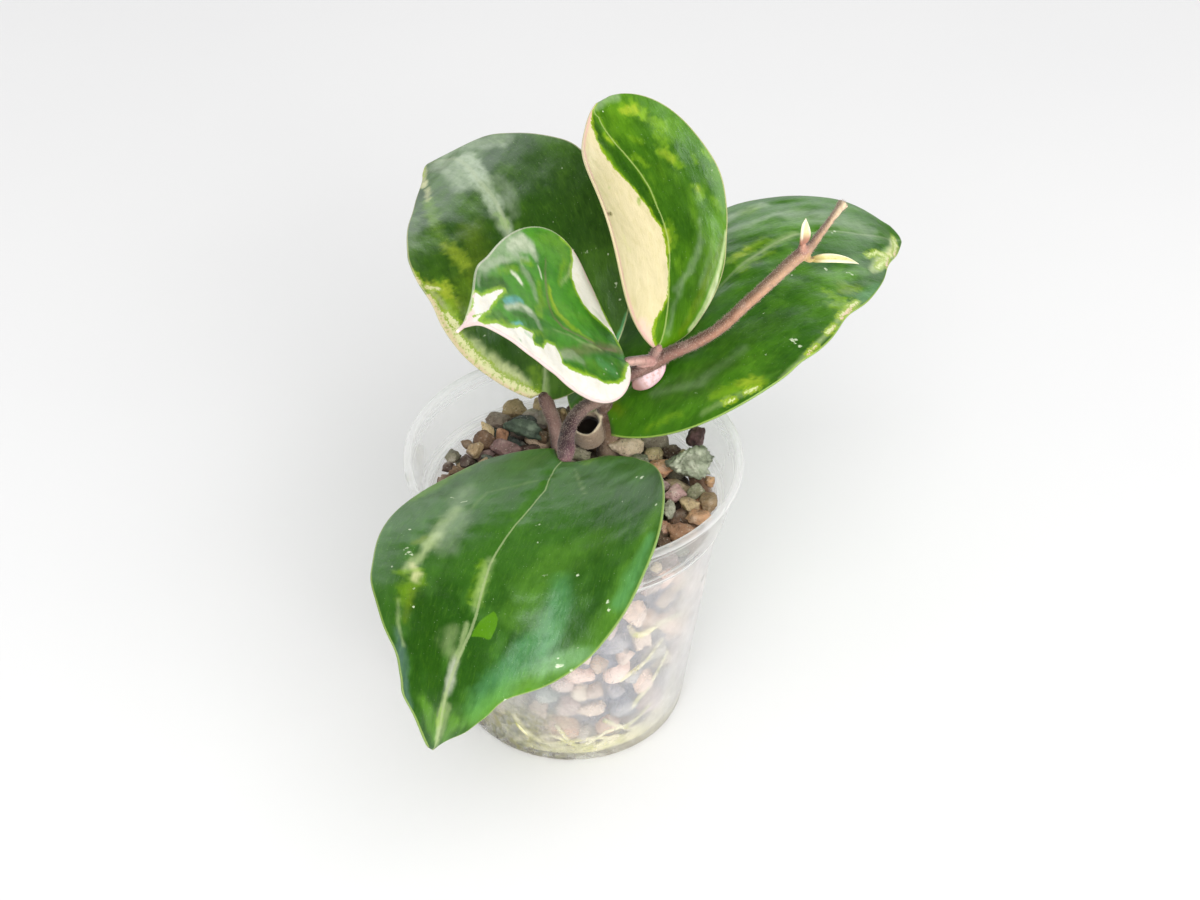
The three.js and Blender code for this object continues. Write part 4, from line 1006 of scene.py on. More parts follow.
# Leaves, by the same growth numbers as in the CAD source, in millimetres and degrees. Marks lie on the
# unrolled blade, in whole numbers: thousandths of the length, hundredths of the half width across, and the
# mark's own half width in hundredths of a mm, which areas leave out. A paint is its tone, strength and
# softness in hundredths, then the run that it follows; cream, lime and specks have crisp edges.
leaves = {}
leaves["leaf_front"] = {
    "base": [-2.4, -6.8, 87.7], "heading": -119.1, "rise": 4.1, "roll": 11.2, "length": 95, "width": 70.8,
    "baseTaper": 0.44, "tipTaper": 1.02, "tipTaperRight": -0.36, "bend": [20.8, 38.8], "sweep": 28.7,
    "twist": [-35.1, -130.2], "cupLeft": 35.4, "cupRight": -15.8, "lobe": 5.3, "lopside": 0.17,
    "edge": [[-1, 0.09, 0.05, 1.3], [-1, 0.65, 0.05, 0.9], [-1, 0.82, 0.04, -1.7], [-1, 0.91, 0.025, 1.8],
    [1, 0.02, 0.015, 1.2], [1, 0.42, 0.08, -0.6], [1, 0.64, 0.06, 0.6], [1, 0.8, 0.05, -2.4],
    [1, 0.92, 0.03, 0.8]], "seed": 1, "rib": [[0, -0.03], [0.145, 0.05], [0.26, 0.03], [0.365, 0],
    [0.42, -0.015], [0.463, -0.02], [0.562, 0.005], [0.632, 0.025], [0.68, 0.02], [0.772, -0.02],
    [0.86, -0.075], [0.958, -0.015], [1, 0]], "ribWidth": [[0, 0.25], [0.3, 0.28], [0.5, 0.42], [0.7, 0.55],
    [0.85, 0.6], [1, 0.4]], "creases": [[1.7, [[0.08, -0.02], [0.2, -0.25], [0.33, -0.5], [0.5, -0.62],
    [0.7, -0.66]]], [1.7, [[0.12, 0.03], [0.24, 0.3], [0.4, 0.45], [0.5, 0.5], [0.68, 0.6]]],
    [1.6, [[0.45, 0], [0.55, 0.25], [0.72, 0.42], [0.86, 0.45]]]],
    "lime": [[613, 102, 53, 623, 102, 53], [718, 100, 40], [757, 95, 58, 752, 95, 40], [295, 90, 53],
        [235, 94, 27]],
    "limeAreas": [[613, 10, 590, 14, 608, 19, 637, 21, 672, 21, 675, 12, 685, 4, 657, 5, 630, 7]],
    "specks": [117, 84, 42, 110, 80, 27, 443, 35, 37, 448, 34, 21, 427, 55, 34, 492, 84, 42, 512, 88, 34,
        675, 86, 48, 670, 88, 32, 677, 99, 32, 655, 79, 29, 347, 20, 19, 318, 18, 16, 285, 16, 16,
        292, 14, 16, 438, -77, 21, 625, -59, 24, 677, -58, 19, 515, -74, 27, 505, -72, 21, 517, -70, 29,
        522, -67, 24, 527, -72, 19, 505, -68, 16, 270, -63, 16, 278, -55, 19, 268, -52, 21, 270, -67, 13,
        190, 67, 21, 230, 94, 21, 195, 88, 16, 588, 21, 21, 535, 21, 16, 618, 38, 16, 627, 38, 13,
        802, 100, 37, 522, 62, 16, 618, 85, 13, 583, -82, 19, 475, 57, 13],
    "paint": [
        ["fresh", 45, 265, 258, 94, 159, 378, 92, 185, 507, 92, 212, 615, 95, 212, 700, 89, 212,
            777, 97, 212, 873, 83, 212],
        ["fresh", 35, 318, 310, 57, 318, 385, 38, 371, 495, 29, 318, 595, 28, 212],
        ["teal", 42, 265, 458, 48, 133, 532, 56, 239, 618, 59, 292, 693, 56, 318, 787, 67, 265,
            865, 64, 133],
        ["teal", 40, 159, 328, 94, 106, 417, 93, 159, 495, 92, 133],
        ["paleTeal", 35, 185, 630, 95, 133, 657, 82, 159, 705, 76, 133],
        ["deep", 45, 212, 378, 49, 80, 463, 60, 133, 547, 67, 106, 618, 75, 53],
        ["deep", 50, 265, 593, -69, 159, 670, -45, 239, 767, -39, 239, 863, -33, 159],
        ["deep", 30, 212, 480, 7, 212, 552, 13, 159],
        ["deep", 42, 424, 75, 33, 265, 168, 49, 318, 278, 63, 318, 372, 62, 265],
        ["greyBlue", 55, 106, 762, -82, 53, 818, -91, 106, 897, -94, 106, 927, -100, 80],
        ["fresh", 60, 133, 900, -57, 106, 938, -33, 133, 973, -5, 80],
        ["fresh", 50, 159, 910, 34, 159, 955, 60, 106],
        ["lime", 45, 159, 593, -56, 133, 635, -64, 159, 677, -71, 106],
        ["pale", 42, 133, 307, -52, 53, 362, -53, 133, 420, -54, 159, 472, -57, 133],
        ["pale", 60, 80, 427, -54, 66, 470, -57, 80, 515, -60, 80, 557, -66, 106, 580, -70, 53],
        ["cream", 60, 66, 555, -64, 66, 578, -59, 80, 600, -59, 53],
        ["olive", 70, 53, 485, -69, 32, 463, -64, 37, 445, -60, 21],
        ["lime", 50, 53, 595, -79, 40, 588, -70, 32, 557, -57, 27],
        ["pale", 45, 40, 675, -74, 21, 743, -79, 27, 790, -81, 32],
        ["lime", 35, 159, 120, -100, 80, 168, -100, 80, 245, -94, 80, 310, -97, 53],
        ["lime", 50, 106, 3, 102, 80, 3, 74, 80],
        ["lime", 50, 133, 475, -6, 80, 532, -4, 106, 590, -3, 80],
        ["pale", 40, 106, 445, -2, 40, 497, -3, 80, 552, -2, 80, 610, -1, 42],
        ["pale", 25, 185, 695, -15, 80, 735, -18, 159, 752, -9, 133],
        ["pale", 50, 53, 657, -3, 40, 708, -3, 53, 748, -4, 53],
        ["white", 40, 106, 762, -5, 37, 790, -6, 80, 828, -5, 80, 848, -5, 42],
        ["grey", 30, 265, 230, -64, 159, 350, -47, 239, 458, -41, 212],
        ["pale", 40, 106, 885, 5, 80, 932, 5, 106, 975, 15, 66],
        ["fresh", 35, 265, 733, 78, 159, 820, 84, 185, 892, 62, 133],
        ["olive", 50, 80, 630, -60, 53, 680, -64, 66, 728, -70, 53],
        ["pale", 60, 53, 858, -7, 53, 892, -9, 53, 927, -9, 80, 965, -1, 53],
        ["lime", 50, 80, 902, -9, 53, 930, -12, 53],
        ["brown", 60, 40, 995, 100, 40],
        ["pale", 14, 32, 117, -6, 16, 217, -42, 21, 263, -42, 27, 335, -44, 21, 400, -43, 13],
        ["pale", 25, 27, 40, 22, 13, 147, 36, 21]],
}
leaves["leaf_back"] = {
    "base": [-9.1, 21.2, 87.2], "heading": 84.7, "rise": 62.2, "roll": 2.5, "length": 107.9, "width": 61.1,
    "baseTaper": 0.62, "tipTaper": 0.94, "tipTaperRight": 0.08, "bend": [107, 38.4], "sweep": 66.6,
    "twist": [-21.6, 1.6], "cupLeft": 35.5, "cupRight": 13.2, "lobe": 1.4, "lopside": 0.04,
    "edge": [[-1, 0.84, 0.06, 1.4], [-1, 0.58, 0.06, 1.1], [1, 0.11, 0.05, 0.5], [1, 0.28, 0.06, -1.2],
    [1, 0.45, 0.05, 0.4], [1, 0.72, 0.08, -0.6], [1, 0.97, 0.03, 0.9]], "seed": 2, "rib": [[0, 0],
    [0.055, -0.04], [0.117, -0.01], [0.247, 0.02], [0.367, 0.05], [0.463, 0.07], [0.522, 0.04],
    [0.61, 0.02], [0.71, 0.01], [0.815, -0.14], [0.9, -0.3], [1, -0.3]], "ribWidth": [[0, 0.5], [0.4, 0.4],
    [0.5, 0.7], [0.7, 0.9], [1, 0.8]], "creases": [[1.8, [[0.25, 0.03], [0.4, -0.3], [0.55, -0.5],
    [0.7, -0.62]]], [1.8, [[0.45, 0.1], [0.6, 0.42], [0.75, 0.6]]]],
    "cream": [[403, 102, 40, 352, 99, 53], [307, 99, 80, 258, 100, 146, 207, 99, 199, 155, 97, 225,
        113, 96, 225, 77, 94, 199, 48, 94, 172, 22, 86, 146, 7, 68, 93, 0, 50, 40], [237, 90, 93,
        200, 85, 93], [335, 94, 66, 328, 86, 53], [1011, 160, 66, 932, 108, 53]],
    "specks": [323, -57, 34, 325, -53, 21, 323, -66, 19, 340, -46, 21, 302, -77, 21, 207, -88, 19,
        240, -83, 29, 430, -37, 24, 547, -73, 24, 605, -62, 13, 168, 62, 27, 292, 74, 21, 455, -4, 13,
        228, -83, 19],
    "paint": [
        ["deep", 35, 371, 507, -35, 371, 367, -44, 318, 268, -46, 212],
        ["olive", 40, 133, 312, 108, 80, 233, 110, 106, 175, 110, 106],
        ["yellow", 50, 80, 163, 88, 106, 113, 80, 106, 72, 70, 106, 45, 50, 80],
        ["olive", 45, 371, 530, 38, 265, 403, 39, 265, 315, 59, 212],
        ["deep", 45, 212, 490, 78, 212, 415, 87, 159],
        ["deep", 40, 212, 140, 49, 239, 83, 34, 212],
        ["grey", 50, 239, 943, -116, 212, 875, -87, 239, 755, -79, 159],
        ["grey", 60, 239, 938, -19, 239, 835, 4, 345, 723, 17, 292],
        ["grey", 85, 133, 840, -32, 239, 725, -4, 239, 613, 5, 172, 527, 7, 133, 453, 7, 66],
        ["grey", 30, 185, 655, -17, 159, 573, -10, 185, 507, -6, 106],
        ["lime", 40, 80, 540, 8, 80, 490, 6, 80],
        ["cream", 70, 80, 1010, 102, 80, 968, 100, 106, 868, 85, 80],
        ["cream", 50, 80, 838, 75, 66, 750, 77, 53],
        ["lime", 40, 212, 752, 78, 80, 650, 72, 80, 545, 66, 106, 465, 59, 159, 407, 56, 159],
        ["deep", 35, 212, 583, 54, 212, 432, 72, 185],
        ["yellow", 40, 159, 495, 63, 106, 440, 57, 159, 400, 54, 106],
        ["yellow", 60, 159, 350, 90, 106, 310, 84, 185, 263, 81, 159],
        ["cream", 55, 80, 325, 94, 80, 280, 91, 106, 217, 88, 106],
        ["lime", 60, 159, 333, 62, 133, 263, 66, 133, 212, 70, 106],
        ["lime", 70, 185, 347, 82, 133, 302, 82, 159, 265, 85, 133, 230, 81, 133],
        ["deep", 50, 106, 343, 62, 106, 295, 64, 133, 258, 72, 80],
        ["yellow", 75, 106, 343, 93, 106, 335, 82, 133, 302, 81, 80],
        ["cream", 75, 80, 340, 97, 53, 335, 90, 80, 325, 86, 53],
        ["yellow", 80, 106, 278, 100, 106, 233, 98, 133, 193, 95, 106],
        ["olive", 40, 133, 285, 69, 106, 237, 71, 133],
        ["pale", 90, 185, 182, 91, 133, 138, 84, 185, 90, 76, 212, 55, 67, 212, 28, 52, 159],
        ["cream", 40, 159, 142, 83, 106, 90, 76, 159, 50, 62, 159, 22, 48, 106],
        ["lime", 45, 159, 62, 15, 133, 18, 19, 133],
        ["pale", 50, 66, 77, -3, 32, 43, -6, 42, 10, -23, 53],
        ["teal", 95, 27, 175, -100, 53, 150, -99, 64, 125, -98, 53],
        ["grey", 15, 159, 667, 93, 133, 525, 95, 133],
        ["lime", 30, 133, 48, -67, 106, 43, -100, 106]],
}
leaves["leaf_right"] = {
    "base": [7.1, 18.4, 85.2], "heading": 53, "rise": 34.4, "roll": -7.5, "length": 121.1, "width": 69.2,
    "baseTaper": 0.48, "tipTaper": 0.84, "tipTaperRight": 0.05, "bend": [31.8, 111.6], "sweep": -27.2,
    "twist": [-11.6, 64.2], "cupLeft": -26.6, "cupRight": -3.7, "lobe": 6.1, "lopside": -0.17,
    "edge": [[-1, 0.36, 0.04, -0.6], [-1, 0.58, 0.07, -1.5], [-1, 0.87, 0.05, -1.3], [1, 0.62, 0.05, 0.9],
    [1, 0.86, 0.05, 1.1], [1, 0.975, 0.02, 1.6]], "seed": 3, "rib": [[0, -0.1], [0.102, -0.17],
    [0.21, -0.15], [0.328, -0.1], [0.458, -0.03], [0.557, 0.02], [0.65, 0.05], [0.745, -0.02],
    [0.848, -0.15], [0.958, -0.3], [1, -0.3]], "ribWidth": [[0, 0.5], [0.5, 0.6], [1, 0.5]],
    "creases": [[1.9, [[0.2, -0.1], [0.35, -0.4], [0.5, -0.6]]], [1.9, [[0.4, -0.03], [0.55, -0.36],
    [0.72, -0.6]]], [1.9, [[0.3, 0], [0.45, 0.4], [0.6, 0.66], [0.75, 0.8]]]],
    "cream": [[802, -53, 27, 848, -60, 53, 877, -82, 69, 848, -95, 48], [958, -9, 42, 953, -59, 58,
        915, -90, 37], [640, -94, 32, 595, -96, 58, 555, -96, 53], [520, -96, 37, 485, -95, 37],
        [432, -96, 21, 390, -98, 21], [235, -94, 21, 210, -93, 27], [180, -92, 24, 163, -91, 21],
        [858, -85, 53, 810, -79, 42]],
    "specks": [395, -81, 53, 403, -83, 42, 395, -89, 48, 393, -85, 32, 642, -48, 37, 642, -45, 27,
        698, -66, 42, 690, -61, 32, 755, -3, 32, 745, -5, 24, 217, -74, 21, 145, -68, 29, 412, -49, 27,
        352, -44, 24, 552, -36, 27, 45, -65, 16, 352, -74, 13, 318, -77, 16, 278, -40, 16],
    "paint": [
        ["deep", 65, 318, 90, -51, 265, 168, -62, 371, 302, -56, 318, 425, -61, 265],
        ["deep", 50, 133, 405, -12, 80, 477, -7, 106, 522, -7, 53],
        ["fresh", 45, 239, 583, -35, 239, 630, -59, 239, 698, -64, 185],
        ["fresh", 40, 212, 555, 35, 185, 632, 33, 185, 688, 23, 133],
        ["deep", 35, 133, 522, 32, 106, 552, 25, 106, 593, 15, 80],
        ["grey", 50, 106, 560, 73, 80, 608, 77, 106, 662, 80, 106],
        ["grey", 30, 318, 690, 48, 212, 767, 21, 265, 855, -5, 239],
        ["grey", 35, 106, 537, 54, 53, 585, 47, 80, 670, 53, 53],
        ["pale", 40, 106, 472, -3, 53, 560, 3, 80, 650, 5, 80],
        ["lime", 60, 133, 475, 8, 106, 527, 13, 133, 570, 11, 106],
        ["lime", 45, 106, 465, -6, 66, 517, -4, 93, 565, -4, 80],
        ["yellow", 35, 80, 490, 10, 53, 527, 13, 66],
        ["lime", 35, 133, 603, 73, 80, 637, 74, 80],
        ["fresh", 50, 159, 540, -12, 106, 595, -16, 133, 605, -4, 106],
        ["grey", 12, 106, 92, -42, 53, 168, -62, 80, 300, -62, 80],
        ["olive", 70, 159, 15, 22, 106, 25, -11, 106, 25, -32, 80],
        ["lime", 60, 106, 583, -65, 80, 595, -77, 133, 605, -84, 106],
        ["lime", 50, 106, 650, -74, 80, 682, -83, 106],
        ["lime", 60, 106, 565, -84, 106, 605, -89, 133],
        ["yellow", 20, 80, 623, -77, 66, 655, -79, 93, 682, -81, 80],
        ["fresh", 40, 212, 642, -61, 239, 743, -69, 185],
        ["fresh", 30, 318, 613, 28, 212, 688, 23, 265],
        ["pale", 55, 66, 647, -94, 66, 583, -97, 106, 527, -96, 93, 472, -95, 66, 422, -96, 42],
        ["pale", 40, 66, 422, -96, 53, 357, -99, 66, 287, -100, 66],
        ["lime", 50, 106, 160, -79, 80, 193, -83, 133, 228, -88, 185, 255, -94, 106],
        ["yellow", 35, 80, 212, -83, 66, 237, -87, 106, 255, -92, 80],
        ["pale", 25, 66, 237, -95, 53, 195, -92, 80, 158, -90, 80, 120, -89, 53],
        ["grey", 35, 106, 795, -55, 53, 838, -62, 80, 850, -87, 80],
        ["teal", 35, 159, 665, -94, 106, 765, -100, 106],
        ["deep", 50, 159, 640, -67, 133, 660, -78, 159, 710, -80, 106],
        ["lime", 35, 133, 640, -67, 133, 660, -78, 159],
        ["pale", 85, 80, 963, -7, 80, 922, -68, 133, 843, -79, 172, 780, -77, 106],
        ["cream", 80, 66, 963, -22, 53, 907, -79, 80, 833, -79, 106],
        ["fresh", 50, 53, 887, -60, 53, 848, -66, 53],
        ["lime", 35, 80, 90, -79, 40, 40, -82, 40]],
}
leaves["leaf_upright"] = {
    "base": [21.6, 23.5, 102.8], "heading": 52.4, "rise": 57.1, "roll": 66.7, "length": 71.5, "width": 50.5,
    "baseTaper": 0.74, "tipTaper": 0.73, "tipTaperRight": -0.27, "bend": [120.7, -50.7], "sweep": 37.4,
    "twist": [8.9, -17.7], "cupLeft": 37.8, "cupRight": 39.5, "lobe": 0.7, "lopside": 0.11,
    "edge": [[-1, 0.6, 0.09, 0.9], [-1, 0.08, 0.05, 0.7], [-1, 0.39, 0.06, -0.5], [1, 0.6, 0.15, -0.7],
    [1, 0.92, 0.06, -0.8]], "seed": 4, "rib": [[0, 0], [0.107, 0.01], [0.223, 0], [0.328, -0.05],
    [0.412, -0.08], [0.482, -0.07], [0.535, -0.06], [0.62, -0.06], [0.693, -0.01], [0.78, 0.08],
    [0.868, 0.23], [0.943, 0.38], [0.988, 0.84], [1, 0.9]], "ribWidth": [[0, 0.4], [0.5, 0.35], [0.8, 0.4],
    [1, 0.3]], "creases": [[1.5, [[0.12, -0.02], [0.22, -0.22], [0.35, -0.48], [0.5, -0.6], [0.8, -0.66]]],
    [1.4, [[0.05, -0.3], [0.2, -0.7], [0.4, -0.85]]]], "creamEdges": [[1, [[0, 0.6], [0.05, 0.5],
    [0.1, 0.34], [0.15, 0.14], [0.2, 0.04], [0.25, 0], [0.45, 0], [0.5, 0.06], [0.55, 0.1], [0.6, 0.16],
    [0.65, 0.22], [0.7, 0.31], [0.75, 0.4], [0.8, 0.47], [0.85, 0.56], [0.9, 0.65], [0.95, 0.8],
    [1, 0.95]]]],
    "specks": [630, -37, 16, 613, -91, 13, 818, -35, 11, 955, 11, 9],
    "paint": [
        ["deep", 35, 318, 675, -32, 265, 550, -42, 265, 445, -31, 212],
        ["deep", 75, 80, 945, 69, 106, 850, 44, 159, 760, 22, 159, 672, 8, 159, 565, 1, 133, 500, -3, 80],
        ["fresh", 25, 239, 965, -61, 212, 900, -85, 239, 782, -88, 239, 690, -92, 185],
        ["lime", 60, 90, 930, -39, 106, 920, -60, 133, 887, -62, 106],
        ["yellow", 50, 64, 922, -35, 64, 920, -51, 80, 905, -60, 53],
        ["lime", 45, 90, 877, -59, 106, 845, -65, 133, 812, -71, 90],
        ["lime", 80, 64, 865, 31, 66, 828, 19, 90],
        ["yellow", 45, 53, 848, 27, 40, 830, 18, 40],
        ["lime", 35, 80, 815, -18, 66, 802, -26, 53],
        ["lime", 45, 80, 752, -5, 80, 725, -13, 106, 703, -16, 80],
        ["lime", 50, 90, 735, -45, 106, 708, -53, 133, 675, -59, 90],
        ["yellow", 30, 80, 730, -47, 53, 703, -54, 66],
        ["lime", 35, 80, 795, -52, 80, 762, -58, 53],
        ["lime", 50, 80, 583, -64, 80, 555, -69, 80],
        ["yellow", 40, 53, 573, -66, 40],
        ["lime", 35, 80, 680, -77, 53, 657, -80, 66],
        ["lime", 50, 66, 675, -96, 53, 645, -97, 53],
        ["lime", 40, 66, 527, -84, 40, 492, -88, 53],
        ["deep", 60, 212, 440, -46, 265, 347, -64, 239, 230, -56, 212],
        ["deep", 30, 159, 223, -9, 133, 110, -10, 133],
        ["grey", 20, 80, 468, -61, 27, 390, -61, 53, 302, -44, 66, 225, -16, 53],
        ["grey", 18, 80, 280, -34, 40, 168, -16, 66, 65, -17, 53],
        ["grey", 15, 80, 443, -79, 27, 362, -78, 53, 247, -66, 53],
        ["lime", 35, 106, 465, -15, 80, 410, -17, 80, 372, -6, 53],
        ["yellow", 50, 53, 458, -7, 53, 412, -9, 53, 365, -4, 40],
        ["lime", 40, 32, 988, 84, 21, 868, 23, 27, 780, 8, 37, 693, -1, 37, 620, -6, 32, 535, -6, 27],
        ["olive", 50, 53, 390, -93, 53, 297, -80, 80, 198, -71, 80, 80, -69, 80],
        ["pale", 95, 16, 412, -98, 21, 340, -94, 37, 282, -91, 53, 230, -91, 80, 165, -95, 90, 95, -94, 85],
        ["white", 35, 21, 278, -93, 16, 225, -94, 32, 168, -99, 37, 95, -100, 32],
        ["fresh", 55, 11, 315, -91, 11, 245, -84, 13, 177, -83, 16, 95, -80, 16],
        ["grey", 35, 106, 983, 108, 80, 998, -21, 106, 985, -79, 80]],
    "spots": [
        ["lime", 80, 27, 585, 15, 27, 560, 20, 32],
        ["lime", 70, 27, 640, 60, 34],
        ["umber", 100, 13, 487, 102, 40, 507, 79, 53],
        ["pink", 45, 133, 77, 80, 185, 28, 77, 185, 3, 100, 106],
        ["yellow", 50, 53, 532, 2, 53, 500, 1, 66, 477, 0, 53],
        ["yellow", 25, 80, 623, 83, 53, 593, 73, 53],
        ["yellow", 20, 80, 400, 68, 53, 360, 65, 53]],
}
leaves["leaf_curled"] = {
    "base": [13.7, 17.3, 102.6], "heading": 204.5, "rise": 38.3, "roll": -7.2, "length": 91.6,
    "width": 50.4, "baseTaper": 0.64, "tipTaper": 1.74, "tipTaperRight": 0.1, "bend": [-38.6, 31],
    "sweep": 49.4, "twist": [-29.8, 21.5], "cupLeft": -14.9, "cupRight": 29.6, "lobe": -0.2,
    "lopside": -0.18, "edge": [[-1, 0.7, 0.06, 1.5], [-1, 0.1, 0.04, -0.7], [-1, 0.03, 0.015, 0.6],
    [1, 0.48, 0.04, -0.6], [1, 0.85, 0.06, -0.9], [1, 0.64, 0.05, 0.5]], "seed": 5, "rib": [[0, 0],
    [0.2, -0.08], [0.35, 0.02], [0.5, -0.1], [0.7, -0.06], [1, 0]], "ribWidth": [[0, 0.3], [0.5, 0.3],
    [0.8, 0.4], [1, 0.4]], "creases": [[1.6, [[0.03, -0.1], [0.15, -0.2], [0.27, -0.12], [0.33, -0.2],
    [0.34, -0.4], [0.32, -0.6]]], [1.5, [[0.1, 0.02], [0.25, 0.3], [0.4, 0.42]]]],
    "creamAreas": [[1040, 20, 927, -100, 870, -77, 818, -76, 802, -100, 777, -88, 757, -55, 665, -42,
        590, -40, 655, -32, 710, -23, 760, -13, 828, -9, 868, 40, 838, 94, 752, 49, 708, 55, 615, 36,
        575, 38, 537, 36, 565, 49, 570, 66, 515, 62, 465, 42, 415, 39, 400, 47, 410, 66, 370, 69, 302, 69,
        223, 66, 168, 72, 105, 76, 62, 75, 20, 53, -10, 62, 3, 102, 68, 134, 228, 122, 435, 118, 735, 126,
        938, 160], [240, -100, 190, -100, 177, -88, 182, -71, 168, -58, 147, -51, 110, -53, 70, -60,
        43, -69, 25, -79, 10, -90, 5, -102, 13, -112, 163, -118]],
    "creamGaps": [[877, -32, 16, 812, -9, 16]],
    "specks": [147, 46, 24, 95, 54, 27, 102, 33, 16, 168, 54, 16, 138, -32, 13, 177, -34, 13, 168, 31, 16],
    "paint": [
        ["deep", 35, 159, 152, -64, 159, 113, -49, 185, 68, -37, 159],
        ["fresh", 75, 133, 325, -90, 133, 278, -93, 159, 235, -91, 159, 207, -81, 133, 210, -65, 80],
        ["fresh", 40, 159, 385, 40, 159, 305, 42, 185, 177, 48, 185],
        ["deep", 65, 133, 715, -72, 133, 650, -52, 159, 583, -48, 133],
        ["deep", 50, 106, 555, -77, 80, 468, -60, 133, 400, -47, 133],
        ["deep", 50, 106, 695, 2, 80, 772, 21, 106, 675, 23, 80],
        ["teal", 50, 133, 170, 33, 133, 113, 49, 159],
        ["grey", 55, 185, 682, -92, 133, 605, -95, 239, 522, -92, 292, 450, -89, 292],
        ["grey", 80, 93, 495, -86, 159, 435, -85, 239, 383, -80, 212, 360, -71, 106],
        ["white", 35, 106, 495, -89, 80, 417, -86, 133, 378, -78, 106],
        ["grey", 50, 106, 445, -60, 106, 407, -42, 133, 410, -26, 106],
        ["grey", 70, 66, 670, -89, 53, 585, -82, 66, 492, -73, 80, 405, -68, 80],
        ["grey", 45, 53, 738, -80, 40, 695, -95, 53, 613, -104, 53, 525, -102, 53],
        ["lime", 50, 80, 583, -67, 53, 477, -59, 66],
        ["lime", 60, 66, 440, -66, 66, 380, -62, 66],
        ["grey", 60, 80, 642, -9, 53, 588, -12, 93, 515, -12, 119, 465, -4, 119, 468, 14, 80],
        ["white", 40, 53, 637, -11, 40, 522, -15, 53, 470, -9, 40],
        ["deep", 50, 42, 615, 5, 27, 535, 4, 37],
        ["lime", 60, 66, 217, -79, 66, 233, -67, 66, 247, -54, 53],
        ["pale", 60, 40, 180, -87, 40, 195, -71, 42, 240, -54, 32],
        ["lime", 95, 58, 307, -43, 53, 310, -29, 74, 300, -17, 80, 260, -10, 80, 200, -6, 66, 158, -1, 53],
        ["yellow", 50, 37, 302, -44, 27, 305, -29, 37, 292, -18, 37, 255, -13, 32],
        ["lime", 60, 106, 367, -42, 106, 375, -26, 133, 430, -8, 106],
        ["mauve", 50, 106, 410, 50, 80, 225, 23, 133, 85, -7, 133, 22, -32, 106],
        ["mauve", 75, 24, 305, -71, 19, 320, -45, 24, 333, -28, 27, 345, -10, 32, 302, -3, 34, 225, -1, 37,
            145, 4, 37, 43, -15, 42],
        ["grey", 50, 106, 435, 56, 80, 318, 39, 106, 282, 45, 80],
        ["pale", 40, 32, 383, 10, 21, 285, 7, 32, 207, 11, 32, 130, 7, 27],
        ["lime", 60, 80, 517, 31, 53, 475, 29, 53],
        ["white", 90, 37, 510, -57, 42, 487, -51, 69, 472, -43, 58],
        ["white", 85, 21, 350, -61, 29, 343, -57, 29, 340, -52, 21],
        ["blue", 70, 64, 627, -20, 42, 580, -22, 74, 530, -23, 64, 502, -20, 27],
        ["teal", 60, 66, 662, 32, 53, 560, 19, 53],
        ["blue", 85, 32, 657, 32, 42, 593, 25, 53],
        ["lime", 85, 66, 385, 67, 66, 310, 66, 80, 245, 67, 53],
        ["lime", 70, 53, 45, 56, 40, 87, 73, 40, 160, 71, 40],
        ["lime", 75, 58, 838, 24, 53, 785, 39, 66, 715, 31, 66, 652, 34, 53],
        ["lime", 70, 48, 780, -87, 40, 760, -53, 53, 690, -38, 40]],
    "spots": [
        ["pink", 70, 80, 1012, 102, 106, 945, -64, 119, 865, -68, 106],
        ["pink", 50, 66, 128, -98, 53, 87, -94, 66, 45, -99, 66, 20, -104, 53],
        ["blue", 100, 27, 542, 49, 58, 527, 54, 69],
        ["paleTeal", 50, 40, 600, 44, 53, 573, 50, 53],
        ["grey", 45, 42, 98, -63, 37, 65, -69, 53, 43, -77, 37],
        ["paleTeal", 40, 40, 660, 77, 53],
        ["fresh", 80, 16, 660, 77, 24]],
}


def marksOf(numbers, size=3):
    scales = (1000, 100, 100)
    return [[value / scale for value, scale in zip(numbers[i:i + size], scales)]
            for i in range(0, len(numbers), size)]


for leaf in leaves.values():
    for key in ("lime", "cream", "creamGaps"):
        leaf[key] = [marksOf(run) for run in leaf.get(key, [])]
    for key in ("limeAreas", "creamAreas"):
        leaf[key] = [marksOf(corners, 2) for corners in leaf.get(key, [])]
    for key in ("paint", "spots"):
        leaf[key] = [[tone, strength / 100, soft / 100, marksOf(run)]
                     for tone, strength, soft, *run in leaf.get(key, [])]
    leaf["specks"] = marksOf(leaf["specks"])
# The grey, grey-blue, teal, pale teal and blue paints are painted sheen and highlights on the leaves; white
# is partly painted sheen on the curled leaf and partly white marks
paints = {
    "deep": rgb(38, 80, 6), "fresh": rgb(98, 152, 40), "lime": rgb(130, 172, 16), "yellow": rgb(178, 190, 50),
    "olive": rgb(104, 130, 10), "pale": rgb(180, 198, 138), "cream": rgb(230, 228, 172),
    "white": rgb(234, 236, 214),
    "grey": rgb(172, 188, 158), "greyBlue": rgb(92, 122, 112), "teal": rgb(92, 160, 104),
    "paleTeal": rgb(140, 186, 138),
    "blue": rgb(108, 180, 190), "brown": rgb(122, 92, 36), "mauve": rgb(132, 116, 90),
    "umber": rgb(84, 66, 20),
    "pink": rgb(242, 198, 200),
}
raggedness = {"lime": 0.8, "yellow": 0.9, "cream": 0.5}
bladeShape = {"rows": 216, "side": 52, "thickness": 1.06, "edge": 0.72, "rounding": 0.45, "margin": 0.0045,
    "lobeReach": 0.35,
              "leastHalf": 0.5}


